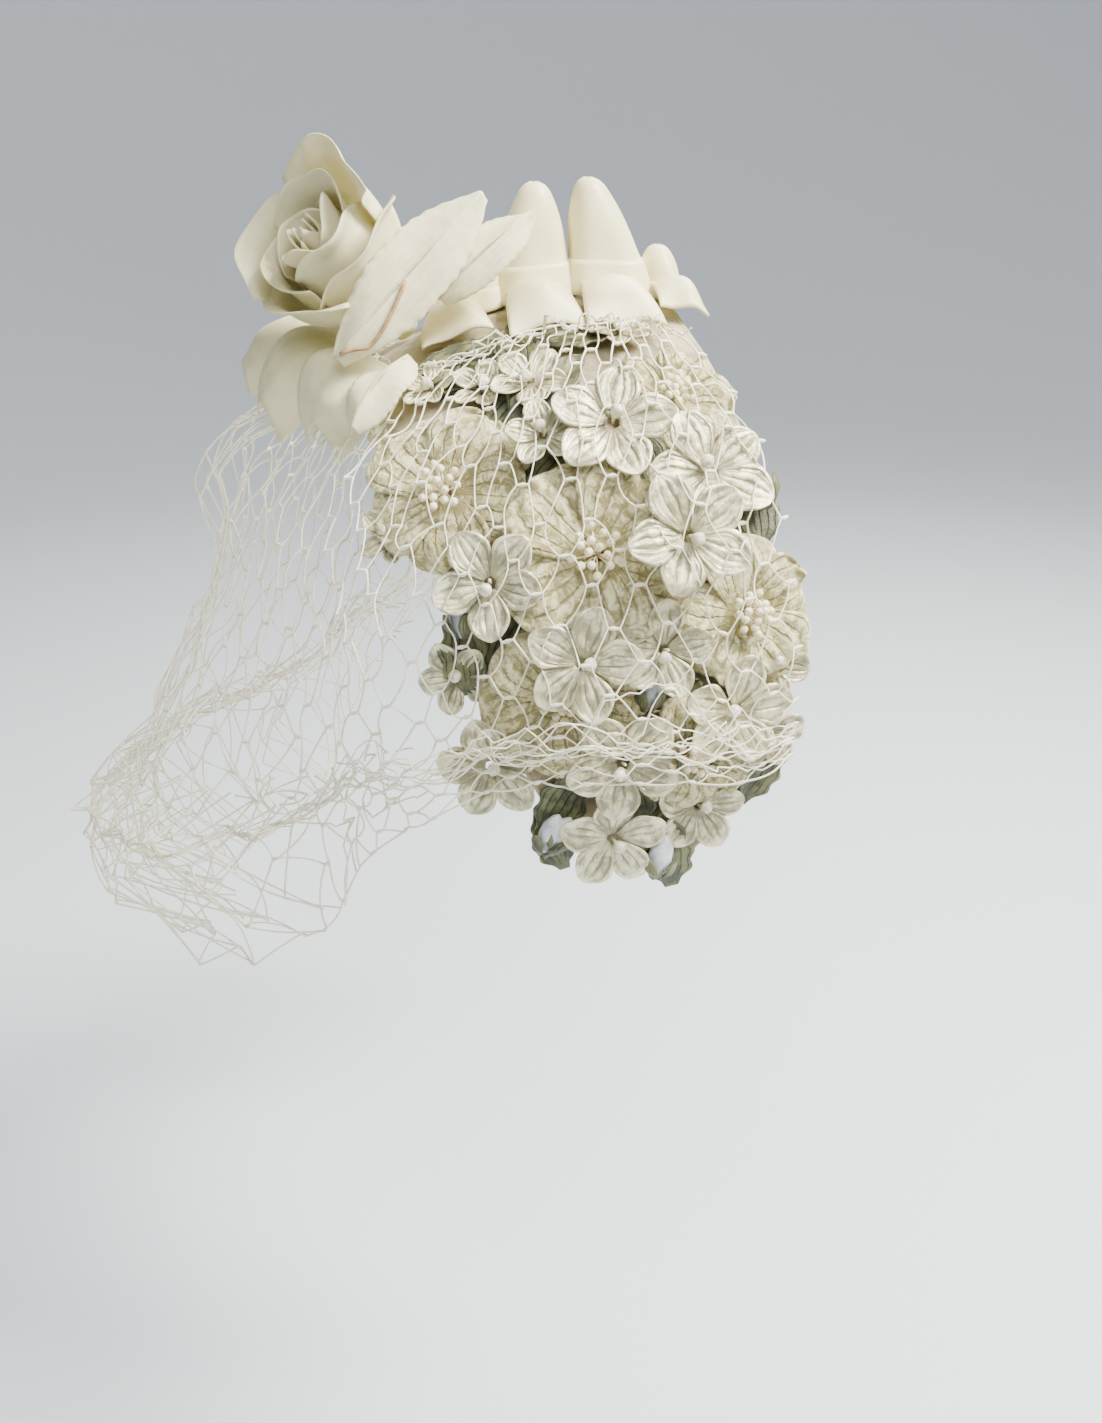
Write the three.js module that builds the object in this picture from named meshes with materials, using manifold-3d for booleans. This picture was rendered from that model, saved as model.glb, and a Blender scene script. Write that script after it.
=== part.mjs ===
// Bridal headpiece: a stiff band over the crown that carries a silk rose, ribbon loops, two clusters of
// velvet and satin flowers, and a short net veil. Millimetres, +Z up, the brow towards -Y and the wearer's
// left towards +X. The origin is the crown's top, where the inner face of the band sits.
import * as THREE from "three";
import { mergeVertices } from "three/addons/utils/BufferGeometryUtils.js";
import Module from "manifold-3d";

// The rounded seat under the piece: half axes of an ellipsoid, with a slower fall below its widest level.
const SEAT_HALF_WIDTH = 74;
const SEAT_HALF_LENGTH = 93;
const CROWN_HEIGHT = 80;
const TEMPLE_FALL = 150;

const BAND_WALL = 2;
const CLEARANCE = 0.4;

const PETALS_PER_FLOWER = 5;
const FLOWER_SIDES = 20;
const VELVET_RADIUS = 18.5;
const VELVET_NOTCH = 0.72;
const VELVET_WALL = 1.2;
const VELVET_DOME = 2.6;
const STAMEN_HEIGHT = 4.2;
const SATIN_RADIUS = 12.6;
const SATIN_NOTCH = 0.4;
const SATIN_WALL = 1;
const SATIN_CUP = 2.6;
const PEARL_HEIGHT = 3.4;
const OVAL_SIDES = 8;
const OVAL_POINT_POWER = 1.4;
const BUD_LENGTH = 10;
const BUD_WIDTH = 5.6;
const BUD_THICKNESS = 4.6;
const BUD_EDGE_SHARE = 0.12;
const BUD_BELLY_SHARE = 0.8;
const LEAF_LENGTH = 24;
const LEAF_WIDTH = 12;
const LEAF_WALL = 1;
const LEAF_FOLD = 1.4;

const ROSE_RADIUS = 18;
const ROSE_HEIGHT = 32;
const ROSE_FOOT_HEIGHT = 12.5;
const HEART_SIDES = 12;
const PETAL_WALL = 1;
const PETAL_SPIRAL_SHARE = 0.095;
const PETAL_ROUNDING = 0.2;
const PETAL_FOOT_SPREAD = 0.5;
const PETAL_FULL_SPREAD_AT = 0.5;
const PETAL_BELLY_AT = 0.42;
const LOWER_PETAL_WIDTH = 22;
const LOWER_PETAL_BOW = 5;
const LOWER_PETAL_CURL = 3;
const ROSE_LEAF_WIDTH = 15;
const ROSE_LEAF_WALL = 1;
const ROSE_LEAF_BOW = 3;
const ROSE_LEAF_FOLD = 2;

const LOOP_WIDTH = 16.2;
const LOOP_HEIGHT = 26;
const LOOP_DEPTH = 15;
const LOOP_SIDES = 8;
const FLAP_REACH = 24;
const FLAP_ROOT = 4.5;
const FLAP_ROOT_WIDTH = 0.7;
const FLAP_RISE = 3;
const FLAP_PUFF = 4;
const RIBBON_WALL = 1;

const VEIL_WALL = 1;
const VEIL_PUFF = 49;
const VEIL_CREST = 14;
const VEIL_OVER_FLOWERS = 1.6;
const VEIL_SIDE_TURN = 118;
const VEIL_COLUMNS = 16;
const VEIL_ROWS = 7;
const VEIL_FRONT_TURN = 41;
const STRAND_SHARE = 0.26;
// Share of the way to the middle of its cells by which an edge of the net stands back from the next sheet.
const EDGE_SETBACK = 0.03;
// Columns lie closer together over the brow: the share of their width there.
const BROW_COLUMN_SHARE = 0.78;

// Directions from the seat's centre: turn is degrees round from the brow towards +X, and drop is degrees down
// from the crown.

// Band sections along the arch from the crown down to one side, with how far each reaches fore and aft.
const BAND_SECTIONS = [
  { arch: 0, fore: 40, aft: 11 },
  { arch: 18, fore: 38, aft: 13 },
  { arch: 44, fore: 37, aft: 19 },
  { arch: 72, fore: 28, aft: 22 },
  { arch: 96, fore: 21, aft: 23 },
  { arch: 112, fore: 11, aft: 13 },
  { arch: 118, fore: 3, aft: 6 },
];
const BAND_STEPS_ALONG = 24;
const BAND_STEPS_ACROSS = 7;

// Flowers of each side in the order that they are laid on, lowest first. Spin turns the petals in degrees,
// and size is a share of the size of their kind.
const LEFT_CLUSTER = [
  { name: "leaf_1", kind: "leaf", turn: 57, drop: 34, spin: 20, size: 0.75 },
  { name: "leaf_2", kind: "leaf", turn: 74, drop: 41, spin: 115, size: 0.8 },
  { name: "leaf_3", kind: "leaf", turn: 61, drop: 79, spin: 100, size: 0.85 },
  { name: "leaf_4", kind: "leaf", turn: 113, drop: 58, spin: 80, size: 0.8 },
  { name: "leaf_5", kind: "leaf", turn: 95, drop: 114, spin: 100, size: 0.9 },
  { name: "bud_1", kind: "bud", turn: 61, drop: 74, spin: 100, size: 0.9 },
  { name: "bud_2", kind: "bud", turn: 112, drop: 55, spin: 100, size: 1.1 },
  { name: "bud_3", kind: "bud", turn: 75, drop: 109, spin: 70, size: 1 },
  { name: "bud_4", kind: "bud", turn: 93, drop: 112.5, spin: 80, size: 1 },
  { name: "velvet_flower_6", kind: "velvet", turn: 98, drop: 96, spin: 20, size: 0.72 },
  { name: "velvet_flower_5", kind: "velvet", turn: 102, drop: 38, spin: 50, size: 0.72 },
  { name: "velvet_flower_4", kind: "velvet", turn: 77, drop: 86, spin: 130, size: 0.9 },
  { name: "velvet_flower_3", kind: "velvet", turn: 107, drop: 74, spin: 20, size: 0.84 },
  { name: "velvet_flower_1", kind: "velvet", turn: 53.5, drop: 56, spin: 75, size: 0.98 },
  { name: "satin_flower_10", kind: "satin", turn: 65, drop: 36, spin: 70, size: 0.72 },
  { name: "satin_flower_11", kind: "satin", turn: 71.5, drop: 46.5, spin: 40, size: 0.65 },
  { name: "velvet_flower_2", kind: "velvet", turn: 82, drop: 64, spin: 62, size: 1.02 },
  { name: "satin_flower_12", kind: "satin", turn: 85, drop: 109, spin: 20, size: 0.95 },
  { name: "satin_flower_8", kind: "satin", turn: 66, drop: 97, spin: 30, size: 0.95 },
  { name: "satin_flower_9", kind: "satin", turn: 86, drop: 95, spin: 50, size: 1 },
  { name: "satin_flower_7", kind: "satin", turn: 104, drop: 89, spin: 80, size: 1.02 },
  { name: "satin_flower_6", kind: "satin", turn: 92, drop: 78, spin: 10, size: 0.82 },
  { name: "satin_flower_4", kind: "satin", turn: 66, drop: 69, spin: 60, size: 0.95 },
  { name: "satin_flower_5", kind: "satin", turn: 80, drop: 79.5, spin: 290, size: 0.95 },
  { name: "satin_flower_1", kind: "satin", turn: 85, drop: 45.5, spin: 82, size: 1.02 },
  { name: "satin_flower_2", kind: "satin", turn: 101, drop: 54, spin: 40, size: 1.05 },
  { name: "satin_flower_3", kind: "satin", turn: 95, drop: 63, spin: 330, size: 0.95 },
];
const RIGHT_CLUSTER = [
  { name: "right_velvet_flower_1", kind: "velvet", turn: 55, drop: 56, spin: 75, size: 0.98 },
  { name: "right_velvet_flower_2", kind: "velvet", turn: 103, drop: 52, spin: 30, size: 0.9 },
  { name: "right_velvet_flower_3", kind: "velvet", turn: 74, drop: 88, spin: 100, size: 0.95 },
  { name: "right_velvet_flower_4", kind: "velvet", turn: 101, drop: 85, spin: 50, size: 0.9 },
  { name: "right_velvet_flower_5", kind: "velvet", turn: 81, drop: 66, spin: 62, size: 1.03 },
  { name: "right_satin_flower_1", kind: "satin", turn: 72, drop: 42, spin: 82, size: 1.02 },
  { name: "right_satin_flower_2", kind: "satin", turn: 88, drop: 102, spin: 20, size: 1 },
  { name: "right_satin_flower_3", kind: "satin", turn: 64, drop: 72, spin: 50, size: 1 },
];

// Rings from a piece's centre out, with their rise as a share of the kind's dome, cup, thickness or fold.
const VELVET_RINGS = [
  { ring: 0.24, rise: 0.1 },
  { ring: 0.68, rise: 1 },
  { ring: 1, rise: 0.3 },
];
const SATIN_RINGS = [
  { ring: 0.22, rise: 0 },
  { ring: 1, rise: 1 },
];
const BUD_RINGS = [
  { ring: 0.62, rise: 0.86 },
  { ring: 1, rise: 0.56 },
];
const LEAF_RINGS = [
  { ring: 0.55, rise: 0.55 },
  { ring: 1, rise: 1 },
];

// The rose's foot and closed heart, round its axis: radii as shares of ROSE_RADIUS, and heights over its seat
// as shares of the foot's and the petals' height together.
const HEART_PROFILE = [
  { radius: 0, height: 0.046 },
  { radius: 0.167, height: 0.046 },
  { radius: 0.238, height: 0.188 },
  { radius: 0.06, height: 0.208 },
  { radius: 0.281, height: 0.521 },
  { radius: 0.133, height: 0.781 },
  { radius: 0, height: 0.844 },
];
// Petals of the bloom: azimuth and half spread in degrees round the rose's axis, then radii at the foot,
// belly and lip as shares of ROSE_RADIUS, and the petal's own height as a share of ROSE_HEIGHT.
const BLOOM_PETALS = [
  { name: "inner_petal_1", azimuth: 20, spread: 74, foot: 0.19, belly: 0.43, lip: 0.41, rise: 0.86 },
  { name: "inner_petal_2", azimuth: 140, spread: 74, foot: 0.19, belly: 0.43, lip: 0.41, rise: 0.9 },
  { name: "inner_petal_3", azimuth: 260, spread: 74, foot: 0.19, belly: 0.43, lip: 0.41, rise: 0.84 },
  { name: "middle_petal_1", azimuth: 75, spread: 72, foot: 0.32, belly: 0.64, lip: 0.61, rise: 0.88 },
  { name: "middle_petal_2", azimuth: 195, spread: 72, foot: 0.32, belly: 0.64, lip: 0.61, rise: 1 },
  { name: "middle_petal_3", azimuth: 315, spread: 72, foot: 0.32, belly: 0.64, lip: 0.61, rise: 0.82 },
  { name: "outer_petal_1", azimuth: 0, spread: 56, foot: 0.45, belly: 0.89, lip: 0.97, rise: 0.7 },
  { name: "outer_petal_2", azimuth: 90, spread: 56, foot: 0.46, belly: 0.9, lip: 0.98, rise: 0.76 },
  { name: "outer_petal_3", azimuth: 180, spread: 56, foot: 0.45, belly: 0.89, lip: 0.97, rise: 1.1 },
  { name: "outer_petal_4", azimuth: 270, spread: 56, foot: 0.45, belly: 0.89, lip: 0.97, rise: 0.9 },
];
// Petals that hang from the rose's foot over the brow, and the rose's leaves, from root to tip: heights over
// the seat are shares of ROSE_HEIGHT, and a leaf's width is a share of ROSE_LEAF_WIDTH.
const LOWER_PETALS = [
  {
    name: "lower_petal_1",
    roll: -35,
    root: { turn: -10, drop: 40, up: 0.22 },
    tip: { turn: -8, drop: 53, up: 0.71 },
  },
  {
    name: "lower_petal_2",
    roll: -40,
    root: { turn: 9, drop: 39, up: 0.27 },
    tip: { turn: 13, drop: 54, up: 0.5 },
  },
  {
    name: "lower_petal_3",
    roll: -35,
    root: { turn: 22.6, drop: 40, up: 0.265 },
    tip: { turn: 25.6, drop: 53, up: 0.325 },
  },
];
const ROSE_LEAVES = [
  {
    name: "leaf_1",
    width: 1.15,
    roll: 50,
    root: { turn: 30, drop: 45, up: 0.6 },
    tip: { turn: 38, drop: 19, up: 1 },
  },
  {
    name: "leaf_2",
    width: 0.8,
    roll: 40,
    root: { turn: 36, drop: 30, up: 0.5 },
    tip: { turn: 50, drop: 15, up: 0.8 },
  },
  {
    name: "leaf_3",
    width: 0.9,
    roll: -15,
    root: { turn: 34, drop: 38, up: 0.29 },
    tip: { turn: 37, drop: 52, up: 0.41 },
  },
];
// Outlines along a lower petal and a leaf, as shares of their widths.
const LOWER_PETAL_OUTLINE = [
  { down: 0, width: 0.52 },
  { down: 0.25, width: 0.85 },
  { down: 0.5, width: 1 },
  { down: 0.75, width: 0.86 },
  { down: 1, width: 0.54 },
];
const ROSE_LEAF_OUTLINE = [
  { along: 0, width: 0.26 },
  { along: 0.2, width: 0.72 },
  { along: 0.4, width: 0.97 },
  { along: 0.6, width: 0.97 },
  { along: 0.8, width: 0.72 },
  { along: 1, width: 0.26 },
];
const ROSE_SEAT = { turn: 0, drop: 31.5 };
const ROSE_LEAN = { side: 0.44, fore: 0.62, up: 0.65 };

// Ribbon loops along the middle, each with a flap lying down on both sides: the middle's place and how far
// the peak leans aft as shares of LOOP_WIDTH, then shares of the loops' full height and width.
const RIBBON_LOOPS = [
  { name: "ribbon_loop_1", middle: -1.79, lean: 0.12, height: 0.62, width: 0.76 },
  { name: "ribbon_loop_2", middle: -0.895, lean: 0, height: 1, width: 1 },
  { name: "ribbon_loop_3", middle: 0.155, lean: -0.25, height: 1, width: 1 },
  { name: "ribbon_knot", middle: 1.03, lean: -0.06, height: 0.45, width: 0.66 },
];
const LOOP_RINGS = [
  { ring: 0.6, fall: 0.2 },
  { ring: 0.86, fall: 0.55 },
  { ring: 1, fall: 1 },
];

// Net: stations round from the brow, with the drop of the top edge and hem in degrees and how far the net
// stands off, as shares of the cover over the flowers, the crest under the rose and the puff over the brow.
const VEIL_STATIONS = [
  { turn: 0, top: 38, hem: 128, cover: 0, crest: 1, puff: 1 },
  { turn: 18, top: 38, hem: 128, cover: 0, crest: 0.25, puff: 0.8 },
  { turn: 34, top: 37, hem: 126, cover: 0.4, crest: 0, puff: 0.2 },
  { turn: 46, top: 32, hem: 113, cover: 1, crest: 0, puff: 0.05 },
  { turn: 64, top: 25, hem: 101, cover: 1, crest: 0, puff: 0 },
  { turn: 90, top: 22, hem: 97, cover: 1, crest: 0, puff: 0 },
  { turn: 105, top: 22, hem: 101, cover: 1, crest: 0, puff: 0 },
  { turn: 118, top: 27, hem: 96, cover: 1, crest: 0, puff: 0 },
];
const VEIL_PROFILE = [
  { down: 0, cover: 0.25, crest: 0, puff: 0 },
  { down: 0.06, cover: 0.95, crest: 0.1, puff: 0 },
  { down: 0.14, cover: 1, crest: 0.35, puff: 0 },
  { down: 0.29, cover: 1, crest: 1, puff: 0 },
  { down: 0.43, cover: 1, crest: 0.1, puff: 0.02 },
  { down: 0.57, cover: 1, crest: 0, puff: 0.16 },
  { down: 0.71, cover: 1, crest: 0, puff: 0.46 },
  { down: 0.86, cover: 1, crest: 0, puff: 1 },
  { down: 1, cover: 1, crest: 0, puff: 0.52 },
];

const wasm = await Module();
wasm.setup();

const { degToRad, lerp, clamp } = THREE.MathUtils;
const seatCentre = new THREE.Vector3(0, 0, -CROWN_HEIGHT);

const finishes = {
  band: { color: "#e9e3d2", roughness: 0.85, metalness: 0 },
  velvet: { color: "#e4dcc0", roughness: 0.95, metalness: 0 },
  satin: { color: "#dfe1de", roughness: 0.35, metalness: 0.1 },
  bud: { color: "#dde3ea", roughness: 0.4, metalness: 0 },
  leaf: { color: "#6d7155", roughness: 0.6, metalness: 0 },
  silk: { color: "#f3f0e6", roughness: 0.7, metalness: 0 },
  ribbon: { color: "#f4ecce", roughness: 0.45, metalness: 0 },
  net: { color: "#efe9da", roughness: 0.8, metalness: 0 },
};

const headpiece = new THREE.Group();

function addMesh(name, geometry, finish) {
  const mesh = new THREE.Mesh(geometry, new THREE.MeshStandardMaterial(finishes[finish]));
  mesh.name = name;
  headpiece.add(mesh);
}

// A value between the rows of a table, on a smooth curve through them.
function between(rows, key, column, at) {
  const last = rows.length - 1;
  let i = 0;
  while (i < last - 1 && at > rows[i + 1][key]) i += 1;
  const [a, b] = [rows[i], rows[i + 1]];
  const before = rows[Math.max(i - 1, 0)];
  const after = rows[Math.min(i + 2, last)];
  const span = b[key] - a[key];
  const u = clamp((at - a[key]) / span, 0, 1);
  const slopeIn = ((b[column] - before[column]) / (b[key] - before[key])) * span;
  const slopeOut = ((after[column] - a[column]) / (after[key] - a[key])) * span;
  const curve =
    (2 * u ** 3 - 3 * u ** 2 + 1) * a[column] +
    (u ** 3 - 2 * u ** 2 + u) * slopeIn +
    (3 * u ** 2 - 2 * u ** 3) * b[column] +
    (u ** 3 - u ** 2) * slopeOut;
  return clamp(curve, Math.min(a[column], b[column]), Math.max(a[column], b[column]));
}

function direction(turn, drop) {
  const t = degToRad(turn);
  const d = degToRad(drop);
  return new THREE.Vector3(Math.sin(d) * Math.sin(t), -Math.sin(d) * Math.cos(t), Math.cos(d));
}

function seatRadius(way) {
  const fall = way.z < 0 ? TEMPLE_FALL : CROWN_HEIGHT;
  return way.length() / Math.hypot(way.x / SEAT_HALF_WIDTH, way.y / SEAT_HALF_LENGTH, way.z / fall);
}

// The point at a height over the seat, straight out from its centre.
function overSeat(way, height) {
  return way.clone().setLength(seatRadius(way) + height).add(seatCentre);
}

// The seat's own directions at a place: across runs away from the brow, up runs towards the crown.
function seatFrame(turn, drop) {
  const step = 0.5;
  const origin = overSeat(direction(turn, drop), 0);
  const up = overSeat(direction(turn, drop - step), 0).sub(overSeat(direction(turn, drop + step), 0));
  up.normalize();
  const across = overSeat(direction(turn + step, drop), 0).sub(overSeat(direction(turn - step, drop), 0));
  across.addScaledVector(up, -across.dot(up)).normalize();
  return { origin, across, up };
}

// Closes a patch of faces into a wall between its outer and inner points: both faces, and a rim on each edge
// that only one face has.
function thicken(outer, inner, faces) {
  const count = outer.length;
  const index = [];
  const edges = new Set();
  for (const face of faces) face.forEach((a, i) => edges.add(`${a},${face[(i + 1) % face.length]}`));
  for (const face of faces) {
    for (let i = 1; i < face.length - 1; i += 1) {
      index.push(face[0], face[i], face[i + 1]);
      index.push(face[0] + count, face[i + 1] + count, face[i] + count);
    }
    face.forEach((a, i) => {
      const b = face[(i + 1) % face.length];
      if (edges.has(`${b},${a}`)) return;
      index.push(a, a + count, b + count);
      index.push(a, b + count, b);
    });
  }
  return closedGeometry([...outer, ...inner], index);
}

function closedGeometry(points, index) {
  let volume = 0;
  for (let i = 0; i < index.length; i += 3) {
    const [a, b, c] = [points[index[i]], points[index[i + 1]], points[index[i + 2]]];
    volume += a.dot(new THREE.Vector3().crossVectors(b, c));
  }
  const facing = volume < 0 ? index.toReversed() : index;
  const geometry = new THREE.BufferGeometry().setFromPoints(points);
  geometry.setIndex(facing);
  geometry.computeVertexNormals();
  return geometry;
}

// A sheet over a grid of columns and rows, given by its middle surface and wall.
function gridSheet({ columns, rows, wall, at }) {
  const outer = [];
  const inner = [];
  const faces = [];
  const step = 1e-3;
  for (let row = 0; row <= rows; row += 1) {
    for (let column = 0; column <= columns; column += 1) {
      const u = column / columns;
      const v = row / rows;
      const along = at(u, Math.min(v + step, 1)).sub(at(u, Math.max(v - step, 0)));
      const across = at(Math.min(u + step, 1), v).sub(at(Math.max(u - step, 0), v));
      const normal = across.cross(along).normalize();
      outer.push(at(u, v).addScaledVector(normal, wall / 2));
      inner.push(at(u, v).addScaledVector(normal, -wall / 2));
    }
  }
  for (let row = 0; row < rows; row += 1) {
    for (let column = 0; column < columns; column += 1) {
      const a = row * (columns + 1) + column;
      faces.push([a, a + 1, a + columns + 2, a + columns + 1]);
    }
  }
  return thicken(outer, inner, faces);
}

// Faces of a disc: a fan round the centre point, then rings of quads.
function discFaces(sides, rings) {
  const faces = [];
  for (let i = 0; i < sides; i += 1) {
    const j = (i + 1) % sides;
    faces.push([0, 1 + i, 1 + j]);
    for (let ring = 1; ring < rings; ring += 1) {
      const near = 1 + (ring - 1) * sides;
      const far = 1 + ring * sides;
      faces.push([near + i, far + i, far + j, near + j]);
    }
  }
  return faces;
}

function toSolid(geometry) {
  const bare = geometry.clone();
  bare.deleteAttribute("normal");
  bare.deleteAttribute("uv");
  const merged = mergeVertices(bare, 1e-3);
  return new wasm.Manifold(
    new wasm.Mesh({
      numProp: 3,
      vertProperties: new Float32Array(merged.attributes.position.array),
      triVerts: new Uint32Array(merged.index.array),
    }),
  );
}

function joined(geometries) {
  const solid = geometries.map(toSolid).reduce((whole, next) => whole.add(next));
  const mesh = solid.getMesh();
  const geometry = new THREE.BufferGeometry();
  geometry.setAttribute("position", new THREE.BufferAttribute(mesh.vertProperties, 3));
  geometry.setIndex(new THREE.BufferAttribute(mesh.triVerts, 1));
  geometry.computeVertexNormals();
  return geometry;
}

// Band

function bandWay(arch, tilt) {
  const a = degToRad(arch);
  const t = degToRad(tilt);
  return new THREE.Vector3(Math.sin(a) * Math.cos(t), -Math.sin(t), Math.cos(a) * Math.cos(t));
}

function bandGeometry() {
  const end = BAND_SECTIONS.at(-1).arch;
  const outer = [];
  const inner = [];
  const faces = [];
  for (let row = 0; row <= BAND_STEPS_ALONG; row += 1) {
    const arch = lerp(-end, end, row / BAND_STEPS_ALONG);
    const fore = between(BAND_SECTIONS, "arch", "fore", Math.abs(arch));
    const aft = between(BAND_SECTIONS, "arch", "aft", Math.abs(arch));
    for (let column = 0; column <= BAND_STEPS_ACROSS; column += 1) {
      const way = bandWay(arch, lerp(fore, -aft, column / BAND_STEPS_ACROSS));
      outer.push(overSeat(way, BAND_WALL));
      inner.push(overSeat(way, 0));
    }
  }
  const stride = BAND_STEPS_ACROSS + 1;
  for (let row = 0; row < BAND_STEPS_ALONG; row += 1) {
    for (let column = 0; column < BAND_STEPS_ACROSS; column += 1) {
      const a = row * stride + column;
      faces.push([a, a + 1, a + stride + 1, a + stride]);
    }
  }
  return thicken(outer, inner, faces);
}

// Clusters: each piece is a disc-like form over the seat, with heights that follow its rings.

function lobes(notch, theta) {
  const wave = Math.abs(Math.cos((PETALS_PER_FLOWER * theta) / 2));
  return lerp(notch, 1, Math.sqrt(wave));
}

function pointedOval(length, width, theta) {
  const a = Math.abs(Math.cos(theta)) / (length / 2);
  const b = Math.abs(Math.sin(theta)) / (width / 2);
  return (a ** OVAL_POINT_POWER + b ** OVAL_POINT_POWER) ** (-1 / OVAL_POINT_POWER);
}

function clusterForm({ kind, size }) {
  if (kind === "velvet") {
    return {
      sides: FLOWER_SIDES,
      rings: VELVET_RINGS,
      outline: (theta) => VELVET_RADIUS * size * lobes(VELVET_NOTCH, theta),
      rise: (ring) => VELVET_DOME * ring.rise,
      wall: VELVET_WALL,
      crown: STAMEN_HEIGHT,
    };
  }
  if (kind === "satin") {
    return {
      sides: FLOWER_SIDES,
      rings: SATIN_RINGS,
      outline: (theta) => SATIN_RADIUS * size * lobes(SATIN_NOTCH, theta),
      rise: (ring) => SATIN_CUP * ring.rise,
      wall: SATIN_WALL,
      crown: PEARL_HEIGHT,
    };
  }
  if (kind === "bud") {
    return {
      sides: OVAL_SIDES,
      rings: BUD_RINGS,
      outline: (theta) => pointedOval(BUD_LENGTH, BUD_WIDTH, theta) * size,
      rise: (ring) => BUD_THICKNESS * ring.rise,
      wall: BUD_THICKNESS * BUD_EDGE_SHARE,
      belly: BUD_THICKNESS * BUD_BELLY_SHARE,
      crown: BUD_THICKNESS,
    };
  }
  return {
    sides: OVAL_SIDES,
    rings: LEAF_RINGS,
    outline: (theta) => pointedOval(LEAF_LENGTH, LEAF_WIDTH, theta) * size,
    rise: (ring, theta) => LEAF_FOLD * ring.rise * Math.abs(Math.sin(theta)),
    wall: LEAF_WALL,
    crown: LEAF_WALL,
  };
}

// How far a piece's outline is taken to reach past itself when another is laid over it.
const RIM_MARGIN = 1.6;
// The net's slope down from a flower's rim, as a fall for each millimetre away from it.
const COVER_SLOPE = 0.45;
const SAMPLE_STEPS = 8;
// The share of the outline that a piece's root takes past its first ring.
const THROAT_MARGIN = 0.1;

class ClusterPiece {
  constructor(row) {
    this.name = row.name;
    this.kind = row.kind;
    this.spin = degToRad(row.spin);
    this.frame = seatFrame(row.turn, row.drop);
    this.form = clusterForm(row);
    this.lift = 0;
    this.root = 0;
  }

  // The direction of the place at a share of the outline, at an angle round the piece.
  way(share, theta) {
    const reach = this.form.outline(theta) * share;
    const { origin, across, up } = this.frame;
    const angle = theta + this.spin;
    return origin
      .clone()
      .addScaledVector(across, reach * Math.cos(angle))
      .addScaledVector(up, reach * Math.sin(angle))
      .sub(seatCentre);
  }

  // Heights of the top and underside over the lift, at a share of the outline.
  heights(share, theta) {
    const { rings, rise, wall, crown, belly } = this.form;
    const tops = [crown, ...rings.map((ring) => wall + rise(ring, theta))];
    const floors = [0, ...rings.map((ring) => rise(ring, theta))];
    if (belly) floors[1] = tops[1] - belly;
    const marks = [0, ...rings.map((ring) => ring.ring)];
    let i = 0;
    while (i < marks.length - 2 && share > marks[i + 1]) i += 1;
    const part = clamp((share - marks[i]) / (marks[i + 1] - marks[i]), 0, 1);
    return { top: lerp(tops[i], tops[i + 1], part), floor: lerp(floors[i], floors[i + 1], part) };
  }

  // The share of the outline and the angle where a direction passes through the piece, or nothing.
  crossing(way) {
    const { origin, across, up } = this.frame;
    const from = origin.clone().sub(seatCentre);
    const normal = new THREE.Vector3().crossVectors(across, up);
    const scale = from.dot(normal) / way.dot(normal);
    if (scale <= 0) return null;
    const flat = way.clone().multiplyScalar(scale).sub(from);
    const u = flat.dot(across);
    const v = flat.dot(up);
    const theta = Math.atan2(v, u) - this.spin;
    const reach = this.form.outline(theta);
    const far = Math.hypot(u, v);
    return far > reach + RIM_MARGIN ? null : { share: Math.min(far / reach, 1), theta };
  }

  topAt(way) {
    const at = this.crossing(way);
    return at ? this.lift + this.heights(at.share, at.theta).top : 0;
  }

  samples(visit) {
    const { sides } = this.form;
    for (let i = 0; i < 2 * sides; i += 1) {
      const theta = (Math.PI * i) / sides;
      for (let k = 0; k <= SAMPLE_STEPS; k += 1) visit(k / SAMPLE_STEPS, theta);
    }
  }

  // Lowers the piece until it lies a clearance above the band or what was laid before it.
  lay(below) {
    const support = (way) => Math.max(BAND_WALL, ...below.map((piece) => piece.topAt(way)));
    let lift = 0;
    this.samples((share, theta) => {
      const { floor } = this.heights(share, theta);
      lift = Math.max(lift, support(this.way(share, theta)) + CLEARANCE - floor);
    });
    for (const piece of below) {
      const peak = piece.way(0, 0);
      const at = this.crossing(peak);
      if (at) lift = Math.max(lift, piece.topAt(peak) + CLEARANCE - this.heights(at.share, at.theta).floor);
    }
    this.lift = lift;
    let under = support(this.way(0, 0));
    const throat = this.form.rings[0].ring;
    this.samples((share, theta) => {
      if (share <= throat + THROAT_MARGIN) under = Math.max(under, support(this.way(share, theta)));
    });
    this.root = under + CLEARANCE - lift;
  }

  top() {
    const { rings, crown, wall, rise } = this.form;
    return this.lift + Math.max(crown, ...rings.map((ring) => wall + rise(ring, Math.PI / 2)));
  }

  // How high a cloth lies in a direction that is held up by this piece alone.
  coverAt(way) {
    const { origin } = this.frame;
    const from = origin.clone().sub(seatCentre);
    const away = way.angleTo(from) * from.length() - this.form.outline(0) - RIM_MARGIN;
    return this.top() - COVER_SLOPE * Math.max(away, 0);
  }

  geometry(mirrored) {
    const { sides, rings } = this.form;
    const outer = [overSeat(this.way(0, 0), this.lift + this.form.crown)];
    const inner = [overSeat(this.way(0, 0), this.lift + Math.min(this.root, 0))];
    for (const { ring } of rings) {
      for (let i = 0; i < sides; i += 1) {
        const theta = (2 * Math.PI * i) / sides;
        const { top, floor } = this.heights(ring, theta);
        outer.push(overSeat(this.way(ring, theta), this.lift + top));
        inner.push(overSeat(this.way(ring, theta), this.lift + floor));
      }
    }
    if (mirrored) for (const point of [...outer, ...inner]) point.x *= -1;
    return thicken(outer, inner, discFaces(sides, rings.length));
  }
}

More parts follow.
